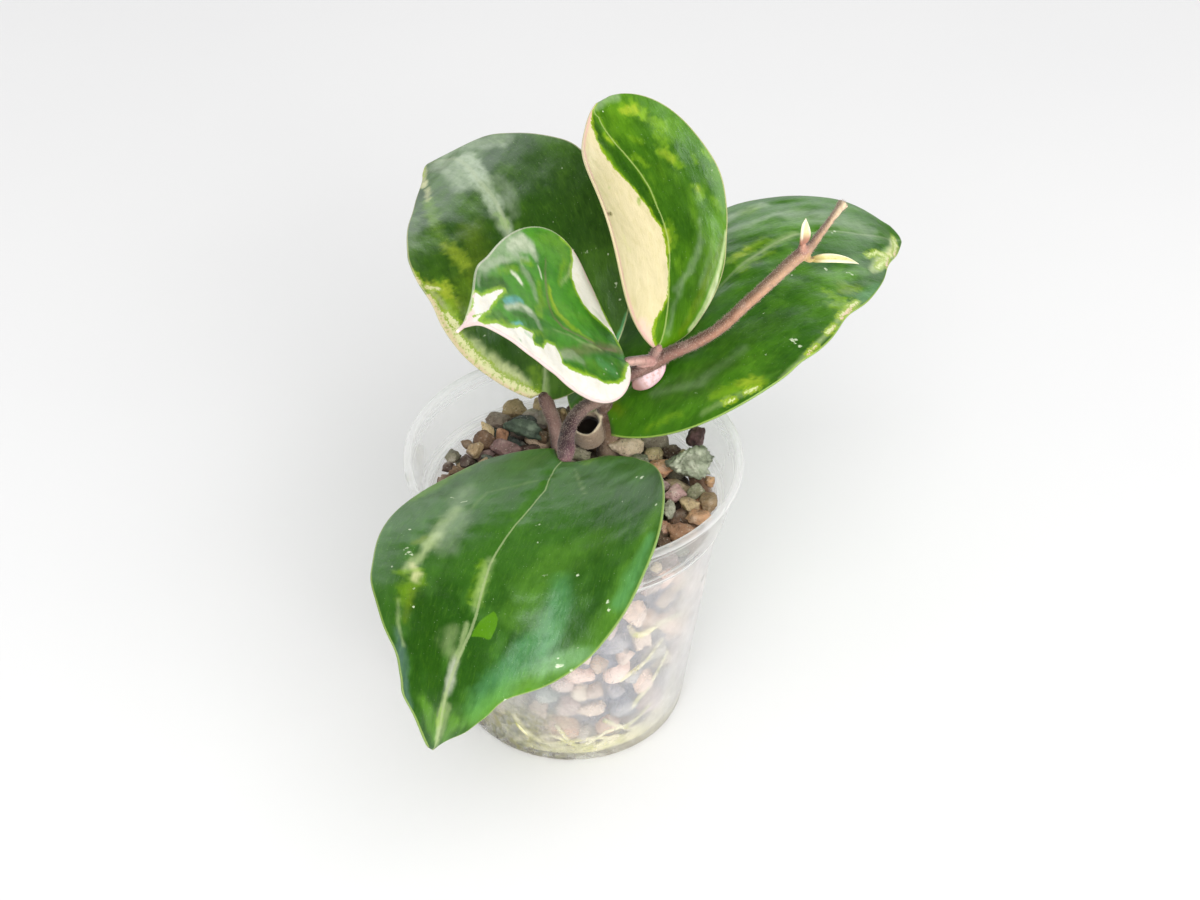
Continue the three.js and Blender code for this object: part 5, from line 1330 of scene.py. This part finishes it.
def midrib(leaf, shares):  # place, tangent, side and normal of the blade at each share of its length
    heading, rise = math.radians(leaf["heading"]), math.radians(leaf["rise"])
    tangent = np.array([math.cos(rise) * math.cos(heading), math.cos(rise) * math.sin(heading),
        math.sin(rise)])
    side = np.array([-math.sin(heading), math.cos(heading), 0.0])
    normal = np.cross(tangent, side)

    def turned(first, second, angle):
        c, s = math.cos(angle), math.sin(angle)
        return first * c + second * s, second * c - first * s

    side, normal = turned(side, normal, math.radians(leaf["roll"]))
    place = np.array(leaf["base"], dtype=float)
    steps = 480
    table = [(place, tangent, side, normal)]
    for i in range(steps):
        middle = (i + 0.5) / steps
        half = math.radians(0.5 / steps)
        bend = (leaf["bend"][0] + (leaf["bend"][1] - leaf["bend"][0]) * middle) * half
        twist = (leaf["twist"][0] + (leaf["twist"][1] - leaf["twist"][0]) * middle) * half
        for again in range(2):
            tangent, normal = turned(tangent, normal, -bend)
            tangent, side = turned(tangent, side, leaf["sweep"] * half)
            side, normal = turned(side, normal, twist)
            if again == 0:
                place = place + tangent * leaf["length"] / steps
        table.append((place, tangent, side, normal))
    known = np.linspace(0, 1, steps + 1)
    columns = [np.array(part) for part in zip(*table)]
    return [np.column_stack([np.interp(shares, known, part[:, k]) for k in range(3)]) for part in columns]


def halfWidth(leaf, share, sign):
    tip = leaf["tipTaper"] + (leaf["tipTaperRight"] if sign < 0 else 0)
    widest = leaf["baseTaper"] / (leaf["baseTaper"] + tip)
    width = leaf["width"] / 2 * (share / widest) ** leaf["baseTaper"] * ((1 - share) / (1 - widest)) ** tip
    for side, place, spread, amount in leaf["edge"]:
        if side == sign:
            width = width + amount * np.exp(-((share - place) / spread) ** 2)
    return np.maximum(width, leaf.get("leastHalf", bladeShape["leastHalf"])) * (1 + leaf["lopside"] * sign)


def halfAt(leaf, shares, across):
    return np.where(across < 0, halfWidth(leaf, shares, -1), halfWidth(leaf, shares, 1))


def bladePoints(leaf, frames, shares, across, lift):  # shares down, across along the second axis
    place, tangent, side, normal = frames
    sign = np.where(across < 0, -1.0, 1.0)
    half = halfAt(leaf, shares[:, None], across[None])
    cup = np.radians(np.where(across < 0, leaf["cupRight"], leaf["cupLeft"])) / (leaf["width"] / 2)
    tilt = cup[None] * np.abs(across)[None] * half
    out = np.sin(tilt) / cup[None]
    up = (1 - np.cos(tilt)) / cup[None]
    nearBase = np.clip(1 - shares / bladeShape["lobeReach"], 0, None)[:, None]
    back = leaf["lobe"] * nearBase ** 2 * np.abs(across)[None] ** 1.5
    outward = sign[None] * (out - lift * np.sin(tilt))
    upward = up + lift * np.cos(tilt)
    return (place[:, None] + side[:, None] * outward[..., None] + normal[:, None] * upward[..., None]
            - tangent[:, None] * back[..., None]), half


def grain(x, y, size, seed):  # cloudy random values from about -1 to 1, size in mm
    table = np.random.default_rng(seed).uniform(-1, 1, (64, 64))
    total = np.zeros(x.shape)
    for octave in range(3):
        u, v = x / size * 2 ** octave + 9.7 * octave, y / size * 2 ** octave + 5.3 * octave
        i, j = np.floor(u).astype(int), np.floor(v).astype(int)
        su, sv = u - i, v - j
        su, sv = su * su * (3 - 2 * su), sv * sv * (3 - 2 * sv)
        corner = [[table[(i + a) % 64, (j + b) % 64] for b in (0, 1)] for a in (0, 1)]
        low = corner[0][0] * (1 - su) + corner[1][0] * su
        high = corner[0][1] * (1 - su) + corner[1][1] * su
        total += (low * (1 - sv) + high * sv) * 0.55 ** octave
    return total


def ease(value, low, high):
    share = np.clip((value - low) / (high - low), 0, 1)
    return share * share * (3 - 2 * share)


def onBlade(leaf, run):  # marks as places on the flat blade, mm
    run = np.array([(mark + [0.0])[:3] for mark in run])
    half = halfAt(leaf, np.clip(run[:, 0], 0, 1), run[:, 1])
    return np.column_stack([run[:, 1] * half, run[:, 0] * leaf["length"], run[:, 2]])


def runReach(x, y, run):  # how far inside a brush run of changing width each point is, mm
    best = np.full(x.shape, -50.0)
    ends = zip(run, run[1:]) if len(run) > 1 else [(run[0], run[0])]
    for (x0, y0, w0), (x1, y1, w1) in ends:
        dx, dy = x1 - x0, y1 - y0
        share = np.clip(((x - x0) * dx + (y - y0) * dy) / (dx * dx + dy * dy + 1e-9), 0, 1)
        best = np.maximum(best, w0 + (w1 - w0) * share - np.hypot(x - x0 - share * dx, y - y0 - share * dy))
    return best


def reachOfAll(leaf, x, y, runs):
    best = np.full(x.shape, -50.0)
    for run in runs:
        best = np.maximum(best, runReach(x, y, onBlade(leaf, run)))
    return best


def areaReach(leaf, x, y, corners):  # distance inside a closed outline, mm
    outline = onBlade(leaf, corners)
    outline[:, 2] = 0
    closed = np.vstack([outline, outline[:1]])
    distance = -runReach(x, y, closed)
    inside = np.zeros(x.shape, dtype=bool)
    for (x0, y0, _), (x1, y1, _) in zip(closed, closed[1:]):
        inside ^= ((y0 > y) != (y1 > y)) & (x < (x1 - x0) * (y - y0) / (y1 - y0 + 1e-12) + x0)
    return np.where(inside, distance, -distance)


def painted(tone, leaf, x, y, marks):
    wander = grain(x, y * 0.6, 2.6, leaf["seed"] * 10 + 1)
    streak = grain(x * 1.6, y * 0.35, 1.9, leaf["seed"] * 10 + 2)
    broken = grain(x, y, 1.0, leaf["seed"] * 10 + 5)
    for name, strength, soft, run in marks:
        reach = runReach(x, y, onBlade(leaf, run)) + (0.1 + 0.3 * soft) * wander
        reach = reach + raggedness.get(name, 0.2) * min(soft, 1) * broken
        share = strength * ease(reach, -soft - 0.2, 0.5 * soft + 0.2) * np.clip(0.96 + 0.2 * streak, 0, 1.1)
        share = np.clip(share, 0, 1)[..., None]
        tone = tone * (1 - share) + np.array(paints[name]) * share
    return tone


def bladeColumns(count):
    s = np.linspace(0, 1, count + 1)
    half = s - 0.7 * np.sin(2 * math.pi * s) / (2 * math.pi)
    half = np.append(half[:-1] * 0.972, [0.98, 0.988, 0.993, 0.9955, 0.9965])
    return np.concatenate([-half[:0:-1], half])


def buildBlade(name, leaf, look, shape):
    rng = np.random.default_rng(leaf.get("seed", 9))
    rows, margin = shape["rows"], bladeShape["margin"]
    steady = np.linspace(0, 1, rows + 1)
    shares = margin + (1 - 2 * margin) * (0.6 * steady + 0.4 * (0.5 - 0.5 * np.cos(math.pi * steady)))
    across = bladeColumns(shape["side"])
    frames = midrib(leaf, shares)
    _, half = bladePoints(leaf, frames, shares, across, np.zeros((len(shares), len(across))))
    flatX = across[None] * half
    flatY = np.repeat(shares[:, None] * leaf["length"], len(across), axis=1)
    share2 = np.repeat(shares[:, None], len(across), axis=1)
    across2 = np.repeat(across[None], len(shares), axis=0)
    toMargin = (1 - np.abs(across2)) * half
    rim = np.clip(toMargin / bladeShape["rounding"], 0, 1)
    ends = np.minimum(share2 - margin, 1 - margin - share2) * leaf["length"]
    ends = np.clip(ends / 0.5 + 0.02, 0, 1)
    rounding = np.sqrt(1 - (1 - rim) ** 2) * np.sqrt(1 - (1 - ends) ** 2)
    body = (shape["thickness"] + (shape["edge"] - shape["thickness"]) * across2 ** 4) / 2
    if "leastHalf" in leaf:
        body = body * np.clip(half / 1.1, 0.15, 1)
    ribTable = np.array(leaf.get("rib", [[0, 0], [1, 0]]))
    ribAcross = np.interp(shares, ribTable[:, 0], ribTable[:, 1])[:, None]
    rib = flatX - ribAcross * halfAt(leaf, shares[:, None], ribAcross)
    widthTable = np.array(leaf.get("ribWidth", [[0, 0.4], [1, 0.3]]))
    ribWidth = np.repeat(np.interp(shares, widthTable[:, 0], widthTable[:, 1])[:, None], len(across), axis=1)
    creases = np.zeros_like(flatX)
    for width, run in leaf.get("creases", []):
        fine = [[s, float(np.interp(s, *zip(*run)))] for s in np.linspace(run[0][0], run[-1][0], 14)]
        reach = runReach(flatX, flatY, onBlade(leaf, fine))
        creases = np.maximum(creases, np.exp(-(reach / width) ** 2))
    relief = np.zeros_like(flatX)
    calm = np.clip(toMargin / 4, 0, 1)
    if "creases" in leaf:
        flat3 = np.column_stack([flatX.ravel(), flatY.ravel(), np.zeros(flatX.size)])
        broad = waves(flat3, rng, 17).reshape(flatX.shape)
        relief += 0.2 * calm * broad + 0.07 * calm * waves(flat3, rng, 6).reshape(flatX.shape)
        relief -= 0.3 * np.exp(-(rib / 1.5) ** 2) * np.clip(1.2 - share2, 0, 1) * calm
        relief -= 0.16 * creases * calm
    top, _ = bladePoints(leaf, frames, shares, across, body * rounding + relief)
    keel = 0.35 * np.exp(-(rib / 1.6) ** 2) * np.clip(1.1 - share2, 0, 1) * calm if "creases" in leaf else 0
    bottom, _ = bladePoints(leaf, frames, shares, across, -body * rounding + relief * 0.6 - keel)
    points = np.vstack([top.reshape(-1, 3), bottom.reshape(-1, 3)]) * mm
    wide = len(across)
    perFace = len(shares) * wide
    faces = []
    for i in range(rows):
        for j in range(wide - 1):
            a, b, c, d = i * wide + j, i * wide + j + 1, (i + 1) * wide + j + 1, (i + 1) * wide + j
            faces.append((d, c, b, a))
            faces.append((perFace + a, perFace + b, perFace + c, perFace + d))
    border = list(range(wide - 1)) + [i * wide + wide - 1 for i in range(rows)]
    border += [rows * wide + j for j in range(wide - 1, 0, -1)] + [i * wide for i in range(rows, 0, -1)]
    for k, a in enumerate(border):
        b = border[(k + 1) % len(border)]
        faces.append((a, b, b + perFace, a + perFace))
    cream = reachOfAll(leaf, flatX, flatY, leaf.get("cream", []))
    for sign, table in leaf.get("creamEdges", []):
        bound = np.interp(shares, *zip(*table))[:, None]
        cream = np.maximum(cream, (sign * across2 - bound) * halfWidth(leaf, shares, sign)[:, None])
    for corners in leaf.get("creamAreas", []):
        cream = np.maximum(cream, areaReach(leaf, flatX, flatY, corners))
    cream = np.minimum(cream, -reachOfAll(leaf, flatX, flatY, leaf.get("creamGaps", [])))
    lime = reachOfAll(leaf, flatX, flatY, leaf.get("lime", []))
    for corners in leaf.get("limeAreas", []):
        lime = np.maximum(lime, areaReach(leaf, flatX, flatY, corners))
    fields = {
        "cream": cream, "lime": lime,
        "speck": reachOfAll(leaf, flatX, flatY, [[mark] for mark in leaf.get("specks", [])]),
        "rib": rib, "ribWidth": ribWidth, "toMargin": toMargin,
    }
    fields = {key: np.tile(values.ravel(), 2) for key, values in fields.items()}
    apart = np.full(flatX.size, leaf.get("seed", 9) * 40.0)  # each leaf has its own part of the noise
    fields["flat"] = np.tile(np.column_stack([flatX.ravel(), flatY.ravel(), apart]), (2, 1))
    fields["under"] = np.repeat([0.0, 1.0], perFace)
    if "paint" in leaf:
        kind = leafKinds[name]
        cloud = ease(grain(flatX, flatY * 0.55, 13, leaf["seed"] * 10 + 3), -0.6, 0.6)[..., None]
        mottle = ease(grain(flatX, flatY * 0.5, 4, leaf["seed"] * 10 + 4), 0.0, 1.0)[..., None]
        tone = np.array(kind["dark"]) * (1 - cloud) + np.array(kind["mid"]) * cloud
        tone = tone * (1 - 0.36 * mottle) + np.array(kind["light"]) * 0.36 * mottle
        tone = painted(tone, leaf, flatX, flatY, leaf["paint"])
        pale = np.array(kind["cream"]) + np.zeros_like(tone)
        pale = painted(pale, leaf, flatX, flatY, leaf.get("spots", []))
        fields["paint"] = np.tile(tone.reshape(-1, 4), (2, 1))
        fields["palePaint"] = np.tile(pale.reshape(-1, 4), (2, 1))
    return makePiece(name + "_blade", points, faces, look, [name], fields)


def leafLook(name, kind):
    look = Look(name)
    flat = look.field("flat", "Vector")
    toMargin = look.field("toMargin")
    mottle = look.noise(look.stretched(flat, (1, 0.6, 1)), 0.5, 4, 0.62)
    flecks = look.noise(flat, 1.5, 4, 0.7)
    cellSize = look.noise(flat, 5.2, 2, 0.6)
    ragged = look.noise(look.stretched(flat, (1, 0.6, 1)), 0.62, 5, 0.7)
    streaks = look.noise(look.stretched(flat, (2.4, 0.4, 1)), 0.7, 4, 0.65)

    green = look.field("paint", "Color")
    shaded = look.mix(green, rgb(150, 178, 130), 1.0, "MULTIPLY")
    green = look.mix(green, shaded, kind["mottle"] * (1 - mottle.above(0.3, 0.6)))
    green = look.mix(green, look.mix(green, rgb(92, 128, 30), 1.0, "ADD"), 0.16 * streaks.above(0.48, 0.72))
    lime = (look.field("lime") + 0.5 * (ragged - 0.5)).above(-0.22, 0.22)
    green = look.mix(green, kind["lime"], 0.9 * lime)
    creamField = look.field("cream") + kind["ragged"] * (ragged - 0.5) + kind["speckle"] * (flecks - 0.5)
    fringe = (creamField + 1.6 * (streaks - 0.5)).above(-1.5, -0.1)
    cream = creamField.above(-0.22, 0.18)
    pale = look.mix(look.field("palePaint", "Color"), kind["creamShade"], 0.7 * mottle.above(0.45, 0.7))
    pink = 1 - (toMargin + 1.6 * (ragged - 0.5)).above(0.3, kind["pinkWidth"])
    pale = look.mix(pale, kind["pink"], 0.85 * pink)
    dots = look.noise(flat, 0.95, 3, 0.6).above(0.54, 0.6)
    pale = look.mix(pale, kind["fringe"], kind["dots"] * dots)
    colour = look.mix(green, kind["fringe"], fringe * 0.85)
    colour = look.mix(colour, pale, cream)
    rib = look.field("rib").abs()
    ribWidth = look.field("ribWidth")
    ribShare = 1 - (rib / ribWidth + 0.9 * (flecks - 0.5)).above(0.35, 1.0)
    colour = look.mix(colour, kind["rib"], ribShare * kind["ribShare"])
    edgeLine = 1 - (toMargin + 0.3 * (flecks - 0.5)).above(0.2, 0.55)
    colour = look.mix(colour, kind["edge"], edgeLine * kind["edgeShare"])
    speck = (look.field("speck") + 1.1 * (flecks - 0.5)).above(-0.22, 0.06)
    colour = look.mix(colour, rgb(212, 224, 192), 0.8 * speck)
    dust = look.cells(flat, 0.9) + 0.25 * (flecks - 0.5)
    colour = look.mix(colour, rgb(196, 216, 176), 0.3 * (1 - dust.above(0.04, 0.1)))
    under = look.field("under")
    below = look.mix(kind["underside"], rgb(104, 142, 72), 0.6 * cellSize.above(0.4, 0.62))
    below = look.mix(below, rgb(168, 190, 132), 0.5 * streaks.above(0.5, 0.7) + 0.4 * ribShare)
    colour = look.mix(colour, look.mix(below, colour, cream * 0.8), under)
    normal = look.bump(cellSize, 0.12, 0.05 * mm)
    normal = look.bump(mottle + 0.3 * streaks, 0.25, 0.6 * mm, normal)
    roughness = 0.26 + 0.1 * mottle + 0.15 * under
    return look.finish(Base_Color=colour, Roughness=roughness, Normal=normal, Specular_IOR_Level=0.5)


sharedKind = {
    "lime": rgb(124, 176, 10), "ragged": 3.0, "speckle": 0.8, "cream": rgb(242, 234, 214),
    "creamShade": rgb(232, 222, 186),
    "pink": rgb(232, 178, 182), "pinkWidth": 2.4, "fringe": rgb(150, 180, 18), "rib": rgb(176, 188, 146),
    "ribShare": 0.8,
    "edge": rgb(160, 176, 96), "underside": rgb(140, 172, 106), "dots": 0.0, "mottle": 0.4, "edgeShare": 0.7,
}
leafKinds = {
    "leaf_front": {"dark": rgb(38, 82, 12), "mid": rgb(53, 102, 20), "light": rgb(76, 128, 40),
    "edge": rgb(146, 168, 84),
                   "rib": rgb(160, 176, 124), "ribShare": 0.6, "lime": rgb(80, 134, 2), "mottle": 0.25},
    "leaf_back": {"dark": rgb(46, 84, 10), "mid": rgb(66, 108, 16), "light": rgb(90, 132, 30),
    "speckle": 3.4, "dots": 0.6,
                  "cream": rgb(230, 228, 176), "creamShade": rgb(212, 214, 144), "edge": rgb(208, 202, 154),
                  "ribShare": 0.3,
                  "pink": rgb(222, 196, 160), "edgeShare": 0.55},
    "leaf_right": {"dark": rgb(46, 96, 6), "mid": rgb(64, 116, 10), "light": rgb(90, 144, 24),
    "speckle": 3.4, "dots": 0.5,
                   "lime": rgb(110, 166, 14), "cream": rgb(212, 222, 160), "creamShade": rgb(184, 204, 112),
                   "edge": rgb(158, 186, 84), "ribShare": 0.22},
    "leaf_upright": {"dark": rgb(56, 102, 8), "mid": rgb(84, 134, 12), "light": rgb(114, 162, 22),
    "edge": rgb(206, 200, 150),
                     "cream": rgb(222, 209, 166), "creamShade": rgb(210, 198, 146),
                     "rib": rgb(170, 188, 110), "ribShare": 0.6,
                     "pink": rgb(222, 172, 166)},
    "leaf_curled": {"dark": rgb(48, 116, 22), "mid": rgb(76, 148, 36), "light": rgb(116, 174, 54),
    "edge": rgb(234, 214, 208),
                    "pink": rgb(240, 206, 204), "cream": rgb(247, 243, 233), "creamShade": rgb(240, 235, 216),
                    "ribShare": 0.0, "pinkWidth": 1.2, "edgeShare": 0.35, "ragged": 1.5, "speckle": 0.4,
                    "fringe": rgb(160, 200, 48)},
}
leafKinds = {name: {**sharedKind, **kind} for name, kind in leafKinds.items()}
for name, leaf in leaves.items():
    blade = buildBlade(name, leaf, leafLook(name + "_skin", leafKinds[name]), bladeShape)
    print(name, "built,", len(blade.data.polygons), "faces")

smallLeaves = {
    "leaf_curled_lobe": {
        "base": [15.2, 16.9, 94.2], "heading": 21.6, "rise": 26.5, "roll": 50, "length": 11.4, "width": 6.4,
        "baseTaper": 0.6, "tipTaper": 0.6, "tipTaperRight": 0, "bend": [20, 20], "sweep": 15, "twist": [0, 0],
        "cupLeft": -40, "cupRight": -40, "lobe": 0, "lopside": 0, "edge": []},
    "young_leaf_up": {
        "base": [58.1, 26.2, 134.9], "heading": 62.9, "rise": 82.1, "roll": 74.8, "length": 7.7, "width": 4.3,
        "baseTaper": 0.5, "tipTaper": 1, "tipTaperRight": 0, "bend": [20, -30], "sweep": 0.2, "twist": [0, 0],
        "cupLeft": 50, "cupRight": 50, "lobe": 0, "lopside": 0, "edge": [], "leastHalf": 0.1},
    "young_leaf_side": {
        "base": [60.3, 25.4, 130.9], "heading": -3.3, "rise": 11.8, "roll": 19.5, "length": 14.7,
        "width": 2.9,
        "baseTaper": 0.5, "tipTaper": 1, "tipTaperRight": 0, "bend": [49.5, 68.8], "sweep": 14.9,
        "twist": [0, 0],
        "cupLeft": 50, "cupRight": 50, "lobe": 0, "lopside": 0, "edge": [], "leastHalf": 0.1},
}


def tenderLook(name, tender):
    look = Look(name)
    flat = look.field("flat", "Vector")
    toMargin = look.field("toMargin")
    along = look.axis(flat, 1)
    clouds = look.noise(flat, 0.8, 3, 0.6)
    colour = look.mix(tender["base"], tender["shade"], clouds.above(0.42, 0.66))
    colour = look.mix(colour, tender["edge"], 0.8 * (1 - toMargin.above(0.15, 0.8)))
    colour = look.mix(colour, tender["foot"], 1 - (along + 1.6 * (clouds - 0.5)).above(*tender["footReach"]))
    normal = look.bump(look.noise(flat, 3, 3, 0.6), 0.3, 0.1 * mm)
    return look.finish(Base_Color=colour, Roughness=0.45 + 0.1 * toMargin.above(0, 2), Normal=normal)


tender = {
    "leaf_curled_lobe": {"base": rgb(232, 204, 208), "shade": rgb(204, 166, 160), "edge": rgb(236, 176, 190),
                         "foot": rgb(150, 112, 104), "footReach": (1.0, 4.5)},
    "young_leaf_up": {"base": rgb(236, 226, 176), "shade": rgb(224, 206, 150), "edge": rgb(248, 240, 214),
                      "foot": rgb(172, 120, 100), "footReach": (1.2, 4.2)},
    "young_leaf_side": {"base": rgb(236, 228, 160), "shade": rgb(216, 208, 120), "edge": rgb(248, 242, 208),
                        "foot": rgb(176, 158, 92), "footReach": (1.0, 5.0)},
}
tenderShape = {"rows": 60, "side": 14, "thickness": 0.9, "edge": 0.7}
for name, leaf in smallLeaves.items():
    slotName = "leaf" if name == "leaf_curled_lobe" else "young_leaf"
    buildBlade(name, leaf, tenderLook(name + "_skin", tender[name]), tenderShape)
print("leaves built")


# Floor, light and camera
floorMesh = bpy.data.meshes.new("floor")
floorMesh.from_pydata([(-3, -3, 0), (3, -3, 0), (3, 3, 0), (-3, 3, 0)], [], [(0, 1, 2, 3)])
floorLook = Look("paleFloor")
floorPlace = floorLook.place()
floorColour = floorLook.mix(rgb(236, 236, 236), rgb(232, 232, 233), floorLook.noise(floorPlace, 6, 3))
floorMesh.materials.append(floorLook.finish(Base_Color=floorColour, Roughness=0.8, Specular_IOR_Level=0.05))
floor = addObject("floor", floorMesh)

lights = {
    "key": {"at": (0.12, -0.86, 1.22), "size": (1.3, 1.3), "power": 11.4, "colour": (1.0, 0.995, 0.985),
    "gloss": False},
    "window": {"at": (-0.22, 1.6, 0.72), "size": (3.4, 0.95), "power": 20, "colour": (0.93, 0.98, 1.0),
    "diffuse": False},
    "skylight": {"at": (0.057, -0.436, 1.01), "size": (0.55, 0.36), "power": 3.4, "colour": (0.9, 0.98, 1.0),
                 "diffuse": False, "along": (-0.443, 0.176, 0.101)},
    "front": {"at": (-0.4, -1.6, 0.9), "size": (1.8, 1.4), "power": 6, "colour": (1.0, 0.99, 0.98),
    "gloss": False},
    "side": {"at": (0.8, -1.2, 0.78), "size": (0.9, 0.8), "power": 10, "colour": (1.0, 0.995, 0.99),
    "gloss": False},
}
lampsFace = Vector((0, 0, 0.08))
for name, light in lights.items():
    lamp = bpy.data.lights.new(name, "AREA")
    lamp.shape = "RECTANGLE"
    lamp.size, lamp.size_y = light["size"]
    lamp.energy = light["power"]
    lamp.color = light["colour"]
    holder = addObject(name, lamp)
    back = (Vector(light["at"]) - lampsFace).normalized()
    along = Vector(light.get("along", (-back.y, back.x, 0)))
    along = (along - back * along.dot(back)).normalized()
    holder.matrix_world = Matrix((along, back.cross(along), back)).transposed().to_4x4()
    holder.location = light["at"]
    holder.visible_glossy = light.get("gloss", True)
    holder.visible_diffuse = light.get("diffuse", True)

world = bpy.data.worlds.new("studio")
world.use_nodes = True
background = world.node_tree.nodes["Background"]
background.inputs["Color"].default_value = (1.0, 1.0, 1.0, 1)
background.inputs["Strength"].default_value = 0.71
world.cycles_visibility.glossy = False  # the room is dark to gloss, so leaves keep their depth
bpy.context.scene.world = world

view = {"lens": 60, "tilt": 39.2, "distance": 529, "target": (6.9, 0, 86.1), "roll": 1.4}
tilt, roll = math.radians(view["tilt"]), math.radians(view["roll"])
forward = Vector((0, math.cos(tilt), -math.sin(tilt)))
level, rise = Vector((1, 0, 0)), Vector((0, math.sin(tilt), math.cos(tilt)))
right = level * math.cos(roll) + rise * math.sin(roll)
up = rise * math.cos(roll) - level * math.sin(roll)
cameraData = bpy.data.cameras.new("camera")
cameraData.sensor_width = 36
cameraData.lens = view["lens"]
cameraData.clip_start = 0.01
camera = addObject("camera", cameraData)
camera.matrix_world = Matrix((right, up, -forward)).transposed().to_4x4()
camera.location = Vector(view["target"]) * mm - forward * view["distance"] * mm
scene = bpy.context.scene
scene.camera = camera
scene.view_settings.view_transform = "Standard"
scene.cycles.use_denoising = True
scene.cycles.transparent_max_bounces = 24
print("floor, light and camera set")
